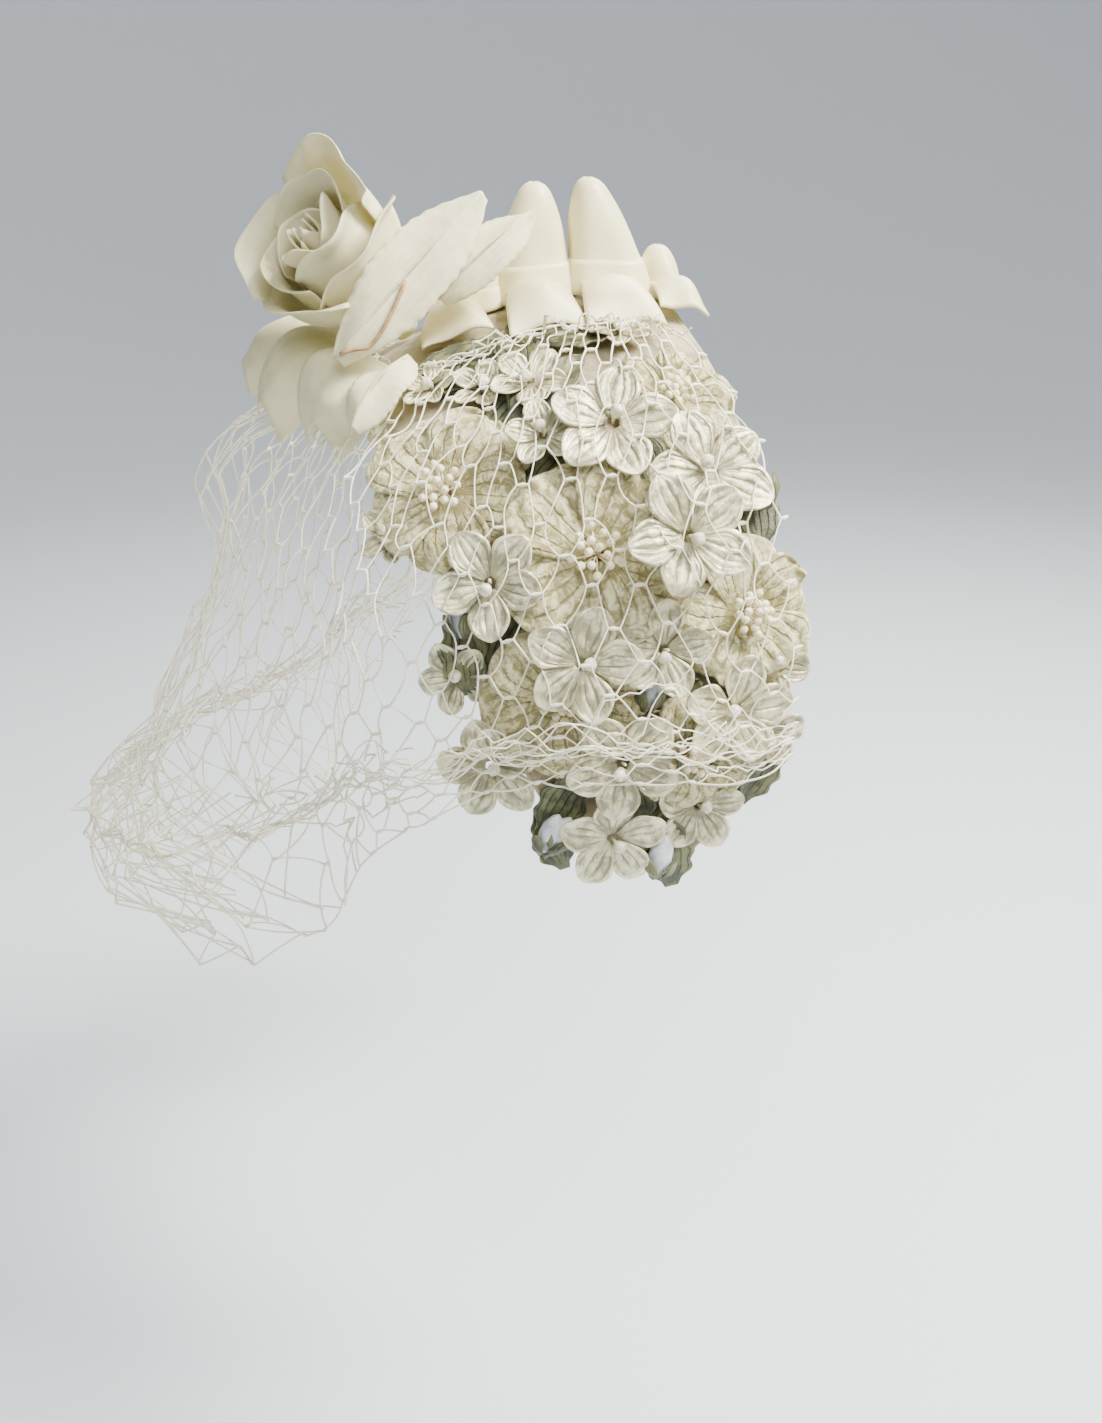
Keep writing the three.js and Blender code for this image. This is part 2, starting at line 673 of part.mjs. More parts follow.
function layCluster(rows, mirrored) {
  const laid = [];
  for (const row of rows) {
    const piece = new ClusterPiece(row);
    piece.lay(laid);
    laid.push(piece);
    addMesh(piece.name, piece.geometry(mirrored), piece.kind);
  }
  return laid;
}

// Rose

function roseFrame() {
  const seat = overSeat(direction(ROSE_SEAT.turn, ROSE_SEAT.drop), BAND_WALL + CLEARANCE);
  const axis = new THREE.Vector3(ROSE_LEAN.side, -ROSE_LEAN.fore, ROSE_LEAN.up).normalize();
  const low = new THREE.Vector3(0, 0, -1).addScaledVector(axis, axis.z).normalize();
  const side = new THREE.Vector3().crossVectors(axis, low);
  return { seat, axis, low, side };
}

function onRose(frame, azimuth, radius, height) {
  return frame.seat
    .clone()
    .addScaledVector(frame.axis, height)
    .addScaledVector(frame.low, radius * Math.cos(azimuth))
    .addScaledVector(frame.side, radius * Math.sin(azimuth));
}

// The foot and the closed heart are one solid, turned round the rose's axis.
function heartGeometry(frame) {
  const [foot, ...levels] = HEART_PROFILE.map(({ radius, height }) => ({
    radius: radius * ROSE_RADIUS,
    height: height * (ROSE_FOOT_HEIGHT + ROSE_HEIGHT),
  }));
  const tip = levels.pop();
  const points = [onRose(frame, 0, 0, foot.height)];
  for (const { radius, height } of levels) {
    for (let i = 0; i < HEART_SIDES; i += 1) {
      points.push(onRose(frame, (2 * Math.PI * i) / HEART_SIDES, radius, height));
    }
  }
  const peak = points.length;
  points.push(onRose(frame, 0, 0, tip.height));
  const start = (level) => 1 + level * HEART_SIDES;
  const last = start(levels.length - 1);
  const index = [];
  for (let i = 0; i < HEART_SIDES; i += 1) {
    const j = (i + 1) % HEART_SIDES;
    index.push(0, start(0) + j, start(0) + i);
    for (let level = 0; level < levels.length - 1; level += 1) {
      index.push(start(level) + i, start(level) + j, start(level + 1) + j);
      index.push(start(level) + i, start(level + 1) + j, start(level + 1) + i);
    }
    index.push(last + i, last + j, peak);
  }
  return closedGeometry(points, index);
}

function bloomPetalGeometry(frame, petal) {
  const profile = [
    { height: 0, radius: petal.foot },
    { height: PETAL_BELLY_AT, radius: petal.belly },
    { height: 1, radius: petal.lip },
  ];
  const at = (u, v) => {
    const across = 2 * u - 1;
    const height = petal.rise * v * (1 - PETAL_ROUNDING * v * across * across);
    const open = Math.min(height / PETAL_FULL_SPREAD_AT, 1);
    const azimuth = degToRad(petal.azimuth + petal.spread * lerp(PETAL_FOOT_SPREAD, 1, open) * across);
    const radius = ROSE_RADIUS * between(profile, "height", "radius", height);
    const tall = ROSE_FOOT_HEIGHT + PETAL_WALL + ROSE_HEIGHT * height;
    const wound = radius + ROSE_RADIUS * PETAL_SPIRAL_SHARE * across * open;
    return onRose(frame, azimuth, wound, tall);
  };
  return gridSheet({ columns: 4, rows: 4, wall: PETAL_WALL, at });
}

// A blade over the seat from a root to a tip, whose heights are shares of ROSE_HEIGHT, rolled by some degrees
// about its run: width(v) is across it, and bow(u, v) is the height added to the straight run.
function bladeGeometry({ root, tip, roll, width, bow, wall, columns, rows }) {
  const from = overSeat(direction(root.turn, root.drop), root.up * ROSE_HEIGHT);
  const to = overSeat(direction(tip.turn, tip.drop), tip.up * ROSE_HEIGHT);
  const along = to.clone().sub(from);
  const out = from.clone().add(to).multiplyScalar(0.5).sub(seatCentre).normalize();
  const across = new THREE.Vector3().crossVectors(along, out).normalize();
  across.applyAxisAngle(along.clone().normalize(), degToRad(roll));
  const lift = new THREE.Vector3().crossVectors(across, along).normalize();
  const at = (u, v) =>
    from
      .clone()
      .addScaledVector(along, v)
      .addScaledVector(across, (u - 0.5) * width(v))
      .addScaledVector(lift, bow(u, v));
  return gridSheet({ columns, rows, wall, at });
}

function addRose() {
  const frame = roseFrame();
  addMesh("rose_heart", heartGeometry(frame), "silk");
  for (const petal of BLOOM_PETALS) {
    addMesh(`rose_${petal.name}`, bloomPetalGeometry(frame, petal), "silk");
  }
  for (const { name, roll, root, tip } of LOWER_PETALS) {
    const geometry = bladeGeometry({
      root,
      tip,
      roll,
      width: (v) => LOWER_PETAL_WIDTH * between(LOWER_PETAL_OUTLINE, "down", "width", v),
      bow: (u, v) => LOWER_PETAL_BOW * Math.sin(Math.PI * v) - LOWER_PETAL_CURL * v * (2 * u - 1) ** 2,
      wall: PETAL_WALL,
      columns: 3,
      rows: 4,
    });
    addMesh(`rose_${name}`, geometry, "silk");
  }
  for (const { name, roll, root, tip, width } of ROSE_LEAVES) {
    const geometry = bladeGeometry({
      root,
      tip,
      roll,
      width: (v) => ROSE_LEAF_WIDTH * width * between(ROSE_LEAF_OUTLINE, "along", "width", v),
      bow: (u, v) => ROSE_LEAF_BOW * Math.sin(Math.PI * v) - ROSE_LEAF_FOLD * Math.abs(2 * u - 1),
      wall: ROSE_LEAF_WALL,
      columns: 2,
      rows: 5,
    });
    addMesh(`rose_${name}`, geometry, "silk");
  }
}

// Ribbon: a standing loop is a hollow hood, and its two flaps come out from under it.

// A height over the seat straight above a place on its crown.
function aboveCrown(x, y, height) {
  return overSeat(new THREE.Vector3(x, y, CROWN_HEIGHT), BAND_WALL + CLEARANCE + height);
}

function loopGeometry(loop) {
  const middle = LOOP_WIDTH * loop.middle;
  const lean = LOOP_WIDTH * loop.lean;
  const peak = aboveCrown(0, middle, 0).z + LOOP_HEIGHT * loop.height;
  const halfWidth = (LOOP_WIDTH * loop.width) / 2;
  const point = (ring, fall, theta, inset) => {
    const x = (LOOP_DEPTH / 2 - inset) * ring * Math.sin(theta);
    const y = middle + lean * (1 - fall) + (halfWidth - inset) * ring * Math.cos(theta);
    return new THREE.Vector3(x, y, lerp(peak - inset, aboveCrown(x, y, 0).z, fall));
  };
  const outer = [point(0, 0, 0, 0)];
  const inner = [point(0, 0, 0, RIBBON_WALL)];
  for (const { ring, fall } of LOOP_RINGS) {
    for (let i = 0; i < LOOP_SIDES; i += 1) {
      const theta = (2 * Math.PI * i) / LOOP_SIDES;
      outer.push(point(ring, fall, theta, 0));
      inner.push(point(ring, fall, theta, RIBBON_WALL));
    }
  }
  return thicken(outer, inner, discFaces(LOOP_SIDES, LOOP_RINGS.length));
}

function flapGeometry(loop, side) {
  const width = LOOP_WIDTH * loop.width;
  const reach = FLAP_REACH * Math.max(loop.height, FLAP_ROOT_WIDTH);
  const at = (u, v) => {
    const x = side * (FLAP_ROOT + reach * v);
    const y = LOOP_WIDTH * loop.middle + (u - 0.5) * width * lerp(FLAP_ROOT_WIDTH, 1, v);
    const puff = FLAP_PUFF * Math.sin(Math.PI * v) * (1 - (2 * u - 1) ** 2);
    const way = new THREE.Vector3(x, y, CROWN_HEIGHT - Math.abs(x) / 5);
    return overSeat(way, BAND_WALL + FLAP_RISE + puff + v);
  };
  return gridSheet({ columns: 2, rows: 2, wall: RIBBON_WALL, at });
}

function addRibbons() {
  for (const loop of RIBBON_LOOPS) {
    const flaps = [1, -1].map((side) => flapGeometry(loop, side));
    addMesh(loop.name, joined([loopGeometry(loop), ...flaps]), "ribbon");
  }
}

// Veil: a six-sided mesh of gaps over the whole sheet, parted into three pieces.

function veilPoint(across, down, clusters, height) {
  const turn = across * VEIL_SIDE_TURN;
  const place = Math.abs(turn);
  const station = (column) => between(VEIL_STATIONS, "turn", column, place);
  const profile = (column) => between(VEIL_PROFILE, "down", column, down);
  const drop = lerp(station("top"), station("hem"), down);
  const way = direction(place, drop);
  const flowers = turn < 0 ? clusters.right : clusters.left;
  const flowerTop = Math.max(BAND_WALL, ...flowers.map((piece) => piece.coverAt(way)));
  const cover = station("cover") * profile("cover") * (flowerTop - BAND_WALL + VEIL_OVER_FLOWERS);
  const crest = station("crest") * profile("crest") * VEIL_CREST;
  const puff = station("puff") * profile("puff") * VEIL_PUFF;
  return overSeat(direction(turn, drop), BAND_WALL + CLEARANCE + cover + crest + puff + height);
}

function veilAcross(column) {
  const share = (2 * column) / VEIL_COLUMNS - 1;
  return share * lerp(BROW_COLUMN_SHARE, 1, Math.abs(share));
}

const CORNERS = [0, 1, 2, 3, 4, 5];
// A cell's corners go round it in half columns and thirds of a row.
const CORNER_STEPS = [
  { column: 0, row: -2 },
  { column: 1, row: -1 },
  { column: 1, row: 1 },
  { column: 0, row: 2 },
  { column: -1, row: 1 },
  { column: -1, row: -1 },
];

function veilCells() {
  const cells = [];
  for (let row = 0; row < VEIL_ROWS; row += 1) {
    const shift = row % 2;
    for (let column = 0; column < VEIL_COLUMNS - shift; column += 1) {
      cells.push({ column: 2 * column + 1 + shift, row: 3 * row + 2 });
    }
  }
  return cells;
}

function veilGeometry(clusters, isInside) {
  const rowSteps = 3 * VEIL_ROWS + 1;
  const flat = (column, row) => ({ across: veilAcross(column / 2), down: row / rowSteps });
  const cells = veilCells().filter((cell) => isInside(flat(cell.column, cell.row).across * VEIL_SIDE_TURN));
  const ids = new Map();
  const places = [];
  const idOf = (key, make) => {
    if (!ids.has(key)) {
      ids.set(key, places.length);
      places.push(make());
    }
    return ids.get(key);
  };
  const corners = new Map();
  for (const cell of cells) {
    for (const k of CORNERS) {
      const column = cell.column + CORNER_STEPS[k].column;
      const row = cell.row + CORNER_STEPS[k].row;
      const key = `${column},${row}`;
      if (!corners.has(key)) corners.set(key, { column, row, owners: [] });
      corners.get(key).owners.push({ cell, k });
    }
  }
  const gapId = (cell, k) =>
    idOf(`${cell.column},${cell.row},${k}`, () => ({
      column: cell.column + CORNER_STEPS[k].column * (1 - STRAND_SHARE),
      row: cell.row + CORNER_STEPS[k].row * (1 - STRAND_SHARE),
      pull: null,
    }));
  const rimId = (corner) =>
    idOf(`${corner.column},${corner.row}`, () => ({
      column: corner.column,
      row: corner.row,
      pull: corner.owners.map((owner) => owner.cell),
    }));
  const faces = [];
  const sides = new Map();
  for (const cell of cells) {
    for (const k of CORNERS) {
      const ends = [k, (k + 1) % 6].map((n) => {
        const key = `${cell.column + CORNER_STEPS[n].column},${cell.row + CORNER_STEPS[n].row}`;
        return corners.get(key);
      });
      const key = ends.map((end) => `${end.column},${end.row}`).toSorted().join(" ");
      if (!sides.has(key)) sides.set(key, { ends, owners: [] });
      sides.get(key).owners.push({ cell, k });
    }
  }
  for (const { ends, owners } of sides.values()) {
    const [a, b] = owners;
    const near = [gapId(a.cell, a.k), gapId(a.cell, (a.k + 1) % 6)];
    const far = b
      ? [gapId(b.cell, b.k), gapId(b.cell, (b.k + 1) % 6)]
      : [rimId(ends[1]), rimId(ends[0])];
    faces.push([near[1], near[0], far[1], far[0]]);
  }
  for (const corner of corners.values()) {
    const own = corner.owners.map(({ cell, k }) => ({ id: gapId(cell, k), cell }));
    if (own.length < 2) continue;
    const ring = own.map(({ id, cell }) => ({
      id,
      angle: Math.atan2(cell.row - corner.row, cell.column - corner.column),
    }));
    ring.sort((p, q) => p.angle - q.angle);
    if (own.length === 3) faces.push(ring.map((p) => p.id));
    else {
      const wide = ring[1].angle - ring[0].angle > Math.PI;
      const pair = wide ? [ring[1].id, ring[0].id] : [ring[0].id, ring[1].id];
      faces.push([pair[0], pair[1], rimId(corner)]);
    }
  }
  const spot = ({ column, row, pull }) => {
    if (!pull) return flat(column, row);
    const middle = {
      column: pull.reduce((sum, cell) => sum + cell.column, 0) / pull.length,
      row: pull.reduce((sum, cell) => sum + cell.row, 0) / pull.length,
    };
    return flat(lerp(column, middle.column, EDGE_SETBACK), lerp(row, middle.row, EDGE_SETBACK));
  };
  const at = (place, height) => {
    const { across, down } = spot(place);
    return veilPoint(across, clamp(down, 0, 1), clusters, height);
  };
  return thicken(
    places.map((place) => at(place, VEIL_WALL)),
    places.map((place) => at(place, 0)),
    faces,
  );
}

function addVeil(clusters) {
  const pieces = [
    { name: "veil_left", isInside: (turn) => turn > VEIL_FRONT_TURN },
    { name: "veil_front", isInside: (turn) => Math.abs(turn) <= VEIL_FRONT_TURN },
    { name: "veil_right", isInside: (turn) => turn < -VEIL_FRONT_TURN },
  ];
  for (const { name, isInside } of pieces) addMesh(name, veilGeometry(clusters, isInside), "net");
}

addMesh("base_band", bandGeometry(), "band");
const clusters = { left: layCluster(LEFT_CLUSTER, false), right: layCluster(RIGHT_CLUSTER, true) };
addRose();
addRibbons();
addVeil(clusters);

export default headpiece;
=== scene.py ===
"""Looks of a bridal headpiece: silk rose, ribbon loops, velvet and satin flowers, and a coarse net veil.

Every piece is built in millimetres over one rounded seat, and its mesh is then stored in metres, in the
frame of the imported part. Turn is degrees round from the brow (-Y) towards +X, and drop is degrees down from
the crown.
"""

import logging
import math
from collections.abc import Sequence
from dataclasses import dataclass
from enum import Enum

import bpy
import numpy as np
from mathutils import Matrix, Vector
from mathutils.bvhtree import BVHTree
from mathutils.kdtree import KDTree


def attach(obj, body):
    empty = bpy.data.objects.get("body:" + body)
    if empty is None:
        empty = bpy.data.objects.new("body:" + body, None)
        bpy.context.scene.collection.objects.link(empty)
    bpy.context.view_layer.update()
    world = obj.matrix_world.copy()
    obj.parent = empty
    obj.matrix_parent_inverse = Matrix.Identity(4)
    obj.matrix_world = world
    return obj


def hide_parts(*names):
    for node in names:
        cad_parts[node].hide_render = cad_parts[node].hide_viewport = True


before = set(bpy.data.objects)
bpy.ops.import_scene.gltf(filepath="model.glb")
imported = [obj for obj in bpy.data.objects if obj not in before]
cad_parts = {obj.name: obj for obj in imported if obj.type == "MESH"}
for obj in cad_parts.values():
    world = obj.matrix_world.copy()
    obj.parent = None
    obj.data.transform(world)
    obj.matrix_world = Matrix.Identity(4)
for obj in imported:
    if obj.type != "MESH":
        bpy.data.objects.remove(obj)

log = logging.getLogger("headpiece")

Array = np.ndarray
Colour = tuple[float, float, float]

MM = 0.001
BAND_WALL = 2.0
CLEARANCE = 0.4
X_AXIS = np.array((1.0, 0.0, 0.0))
Y_AXIS = np.array((0.0, 1.0, 0.0))
MIRROR = np.array((-1, 1, 1))


# Shared geometry


def unit(vectors: Array) -> Array:
    """Scale vectors to length one.

    Args:
        vectors: Vectors along the last axis.

    Returns:
        The same directions with length one.
    """
    length = np.linalg.norm(vectors, axis=-1, keepdims=True)
    return vectors / np.maximum(length, 1e-9)


def smooth_rows(at: Array | float, marks: Sequence[float], values: Sequence[float]) -> Array:
    """Read a table on a smooth curve through its rows.

    Args:
        at: Places to read.
        marks: The rows' places, rising.
        values: The rows' values.

    Returns:
        A value for each place, never past those of its two rows.
    """
    marks, values = np.asarray(marks, float), np.asarray(values, float)
    place = np.clip(np.asarray(at, float), marks[0], marks[-1])
    low = np.clip(np.searchsorted(marks, place, side="right") - 1, 0, len(marks) - 2)
    high = low + 1
    before, after = np.maximum(low - 1, 0), np.minimum(high + 1, len(marks) - 1)
    span = marks[high] - marks[low]
    share = (place - marks[low]) / span
    slope_in = (values[high] - values[before]) / (marks[high] - marks[before]) * span
    slope_out = (values[after] - values[low]) / (marks[after] - marks[low]) * span
    square, cube = share**2, share**3
    curve = (
        (2 * cube - 3 * square + 1) * values[low]
        + (cube - 2 * square + share) * slope_in
        + (3 * square - 2 * cube) * values[high]
        + (cube - square) * slope_out
    )
    return np.clip(curve, np.minimum(values[low], values[high]), np.maximum(values[low], values[high]))


def ease(at: Array | float, low: float, high: float) -> Array:
    """Rise smoothly from 0 at low to 1 at high.

    Args:
        at: Places to read.
        low: Where the rise starts.
        high: Where it ends.

    Returns:
        Shares from 0 to 1.
    """
    share = np.clip((np.asarray(at, float) - low) / (high - low), 0, 1)
    return share * share * (3 - 2 * share)


def grid(columns: int, rows: int) -> tuple[Array, Array]:
    """Lay out the places of a sheet's points.

    Args:
        columns: Faces across the sheet.
        rows: Faces along the sheet.

    Returns:
        Places across (0 to 1) and along (0 to 1), each of rows + 1 by columns + 1 values.
    """
    across, along = np.meshgrid(np.linspace(0, 1, columns + 1), np.linspace(0, 1, rows + 1))
    return across, along


@dataclass(frozen=True)
class Seat:
    """The rounded form that the headpiece sits on, with its crown at the origin.

    Attributes:
        half_width: Half axis along X.
        half_length: Half axis along Y.
        crown: Half axis up, and the centre's depth under the crown.
        temple_fall: Half axis down.
    """

    half_width: float = 74.0
    half_length: float = 93.0
    crown: float = 80.0
    temple_fall: float = 150.0

    @property
    def centre(self) -> Array:
        """The middle of the form's widest level."""
        return np.array((0.0, 0.0, -self.crown))

    def way(self, turn: Array | float, drop: Array | float) -> Array:
        """Find directions from the centre.

        Args:
            turn: Degrees round from the brow.
            drop: Degrees down from the crown.

        Returns:
            Directions of length one.
        """
        turn, drop = np.broadcast_arrays(np.radians(turn), np.radians(drop))
        return np.stack((np.sin(drop) * np.sin(turn), -np.sin(drop) * np.cos(turn), np.cos(drop)), axis=-1)

    def radius(self, ways: Array) -> Array:
        """Measure the form along directions.

        Args:
            ways: Directions from the centre.

        Returns:
            The form's radius along each.
        """
        fall = np.where(ways[..., 2] < 0, self.temple_fall, self.crown)
        scaled = (ways[..., 0] / self.half_width, ways[..., 1] / self.half_length, ways[..., 2] / fall)
        return np.linalg.norm(ways, axis=-1) / np.linalg.norm(np.stack(scaled, -1), axis=-1)

    def over(self, ways: Array, height: Array | float) -> Array:
        """Find points at a height over the form.

        Args:
            ways: Directions from the centre.
            height: Heights over the form, straight out from its centre.

        Returns:
            Points in millimetres.
        """
        reach = np.asarray(self.radius(ways) + height)
        return unit(ways) * reach[..., None] + self.centre

    def height_of(self, points: Array) -> Array:
        """Measure how far points stand over the form.

        Args:
            points: Points in millimetres.

        Returns:
            Their heights.
        """
        ways = points - self.centre
        return np.linalg.norm(ways, axis=-1) - self.radius(ways)

    def tangents(self, turn: float, drop: float) -> tuple[Array, Array, Array]:
        """Find the form's own directions at a place.

        Args:
            turn: Degrees round from the brow.
            drop: Degrees down from the crown.

        Returns:
            The point, the direction away from the brow and the direction towards the crown.
        """
        step = 0.5
        up = unit(self.over(self.way(turn, drop - step), 0) - self.over(self.way(turn, drop + step), 0))
        across = self.over(self.way(turn + step, drop), 0) - self.over(self.way(turn - step, drop), 0)
        return self.over(self.way(turn, drop), 0), unit(across - up * (across @ up)), up


SEAT = Seat()


class Mesh:
    """Points, faces and texture places of one piece while it is built."""

    def __init__(self) -> None:
        """Start an empty piece."""
        self.points: list[Array] = []
        self.faces: list[list[int]] = []
        self.places: list[Array] = []
        self.tones: list[Array] = []
        self.slots: list[int] = []
        self.count = 0

    def _take(
        self, points: Array, places: Array, tone: float, faces: Sequence[Sequence[int]], slot: int
    ) -> None:
        """Add points with the faces between them.

        Args:
            points: The points.
            places: Their places on the cloth, each 0 to 1 across and along.
            tone: Shade of this part against the others.
            faces: The faces, as numbers of these points.
            slot: Which of the piece's materials they take.
        """
        self.points.append(points)
        self.places.append(places)
        self.tones.append(np.full(len(points), tone))
        self.faces.extend([self.count + i for i in face] for face in faces)
        self.slots.extend([slot] * len(faces))
        self.count += len(points)

    def sheet(self, middle: Array, wall: float | Array, tone: float = 0.0, slot: int = 0) -> None:
        """Add a closed cloth wall on both sides of a grid of points.

        Args:
            middle: Grid of points, rows by columns by 3.
            wall: Thickness, one value or one for each point.
            tone: Shade of this sheet against the others, about -1 to 1.
            slot: Which of the piece's materials it takes.
        """
        rows, columns = middle.shape[:2]
        along, across = np.gradient(middle, axis=0), np.gradient(middle, axis=1)
        normal = unit(np.cross(across, along))
        half = np.broadcast_to(np.asarray(wall, float) / 2, (rows, columns))[..., None]
        top, bottom = middle + normal * half, middle - normal * half
        points = np.concatenate((top.reshape(-1, 3), bottom.reshape(-1, 3)))
        u, v = grid(columns - 1, rows - 1)
        place = np.stack((u.ravel(), v.ravel()), -1)
        under = rows * columns
        index = np.arange(under).reshape(rows, columns)
        quads = np.stack((index[:-1, :-1], index[:-1, 1:], index[1:, 1:], index[1:, :-1]), -1).reshape(-1, 4)
        rim = np.concatenate((index[0, :-1], index[:-1, -1], index[-1, :0:-1], index[:0:-1, 0]))
        after = np.roll(rim, -1)
        sides = np.stack((rim, rim + under, after + under, after), -1)
        faces = np.concatenate((quads, quads[:, ::-1] + under, sides)).tolist()
        self._take(points, np.concatenate((place, place)), tone, faces, slot)

    def tube(
        self, path: Array, radii: float | Array, sides: int = 6, tone: float = 0.0, slot: int = 0
    ) -> None:
        """Add a closed tube along a path.

        Args:
            path: Points of its centreline.
            radii: Its radius, one value or one for each point.
            sides: Points round it.
            tone: Shade of this tube.
            slot: Which of the piece's materials it takes.
        """
        count = len(path)
        ahead = unit(np.gradient(path, axis=0))
        side = np.cross(ahead[0], X_AXIS if abs(ahead[0][0]) < 0.8 else Y_AXIS)
        angle = 2 * np.pi * np.arange(sides) / sides
        radius = np.broadcast_to(np.asarray(radii, float), (count,))
        rings = []
        for i in range(count):
            side = unit(side - ahead[i] * (side @ ahead[i]))
            other = np.cross(ahead[i], side)
            ring = np.outer(np.cos(angle), side) + np.outer(np.sin(angle), other)
            rings.append(path[i] + radius[i] * ring)
        points = np.concatenate(rings)
        faces = []
        for i in range(count - 1):
            for k in range(sides):
                a, b = i * sides + k, i * sides + (k + 1) % sides
                faces.append((a, b, b + sides, a + sides))
        faces.append(tuple(range(sides))[::-1])
        faces.append(tuple(range((count - 1) * sides, count * sides)))
        u = np.tile(np.arange(sides) / sides, count)
        v = np.repeat(np.linspace(0, 1, count), sides)
        self._take(points, np.stack((u, v), -1), tone, faces, slot)

    def drop(
        self,
        foot: Array,
        tip: Array,
        outline: Sequence[tuple[float, float]],
        sides: int = 10,
        tone: float = 0.0,
        slot: int = 0,
    ) -> None:
        """Add a closed turned form, such as a pearl or a bud.

        Args:
            foot: Where its axis starts.
            tip: Where its axis ends.
            outline: Rows of share along the axis and radius; both ends close to a small cap.
            sides: Points round it.
            tone: Shade of this form.
            slot: Which of the piece's materials it takes.
        """
        shares = np.array([row[0] for row in outline])
        path = foot + np.outer(shares, tip - foot)
        self.tube(path, np.array([row[1] for row in outline]), sides, tone, slot)

    def build(self, name: str, finishes: "Sequence[Finish]") -> bpy.types.Object:
        """Make the Blender object, with its place in its mesh.

        Args:
            name: The object's name.
            finishes: The piece's materials, in the order of its slots.

        Returns:
            The new object, linked to the scene.
        """
        data = bpy.data.meshes.new(name)
        points = np.concatenate(self.points) * MM
        data.from_pydata(points.tolist(), [], self.faces)
        data.polygons.foreach_set("use_smooth", [True] * len(data.polygons))
        data.polygons.foreach_set("material_index", self.slots)
        corners = np.zeros(len(data.loops), np.int32)
        data.loops.foreach_get("vertex_index", corners)
        places = np.concatenate(self.places)[corners]
        data.uv_layers.new(name="cloth").data.foreach_set("uv", places.ravel())
        tones = data.attributes.new("tone", "FLOAT", "POINT")
        tones.data.foreach_set("value", np.concatenate(self.tones))
        for finish in finishes:
            data.materials.append(finish.material())
        data.validate()
        piece = bpy.data.objects.new(name, data)
        bpy.context.scene.collection.objects.link(piece)
        return piece


def node_points(node: str) -> Array:
    """Read the points of a CAD node.

    Args:
        node: The node's name.

    Returns:
        Its points in millimetres.
    """
    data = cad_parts[node].data
    points = np.zeros(3 * len(data.vertices))
    data.vertices.foreach_get("co", points)
    return points.reshape(-1, 3) / MM


def settle(piece: bpy.types.Object, slot: str, *nodes: str) -> bpy.types.Object:
    """Let a piece ride on the headpiece, in place of CAD nodes.

    Args:
        piece: The finished piece.
        slot: The material slot's name; not used.
        nodes: The CAD nodes that it stands for, if any.

    Returns:
        The piece.
    """
    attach(piece, "root")
    if nodes:
        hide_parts(*nodes)
    return piece


def cut(
    piece: bpy.types.Object,
    width: float,
    length: float,
    held: str,
    rests_on: Sequence[str],
    share: float = 1.0,
) -> None:
    """Take a piece with the cut that it is made from; nothing is done with them.

    Args:
        piece: The settled piece; not used.
        width: Width of the cut in millimetres; not used.
        length: Length of the cut; not used.
        held: How the cloth is held; not used.
        rests_on: What it lies on or hangs from; not used.
        share: Share of that rectangle that the cut fills; not used.
    """


# Materials

TONE_SHADE = 0.22
MARK_SHADE = 0.6
MOTTLE_LOW, MOTTLE_HIGH = 0.36, 0.64
GRAIN_RELIEF = 0.45
MOTTLE_RELIEF = 0.3
SHEEN_ROUGHNESS = 0.4


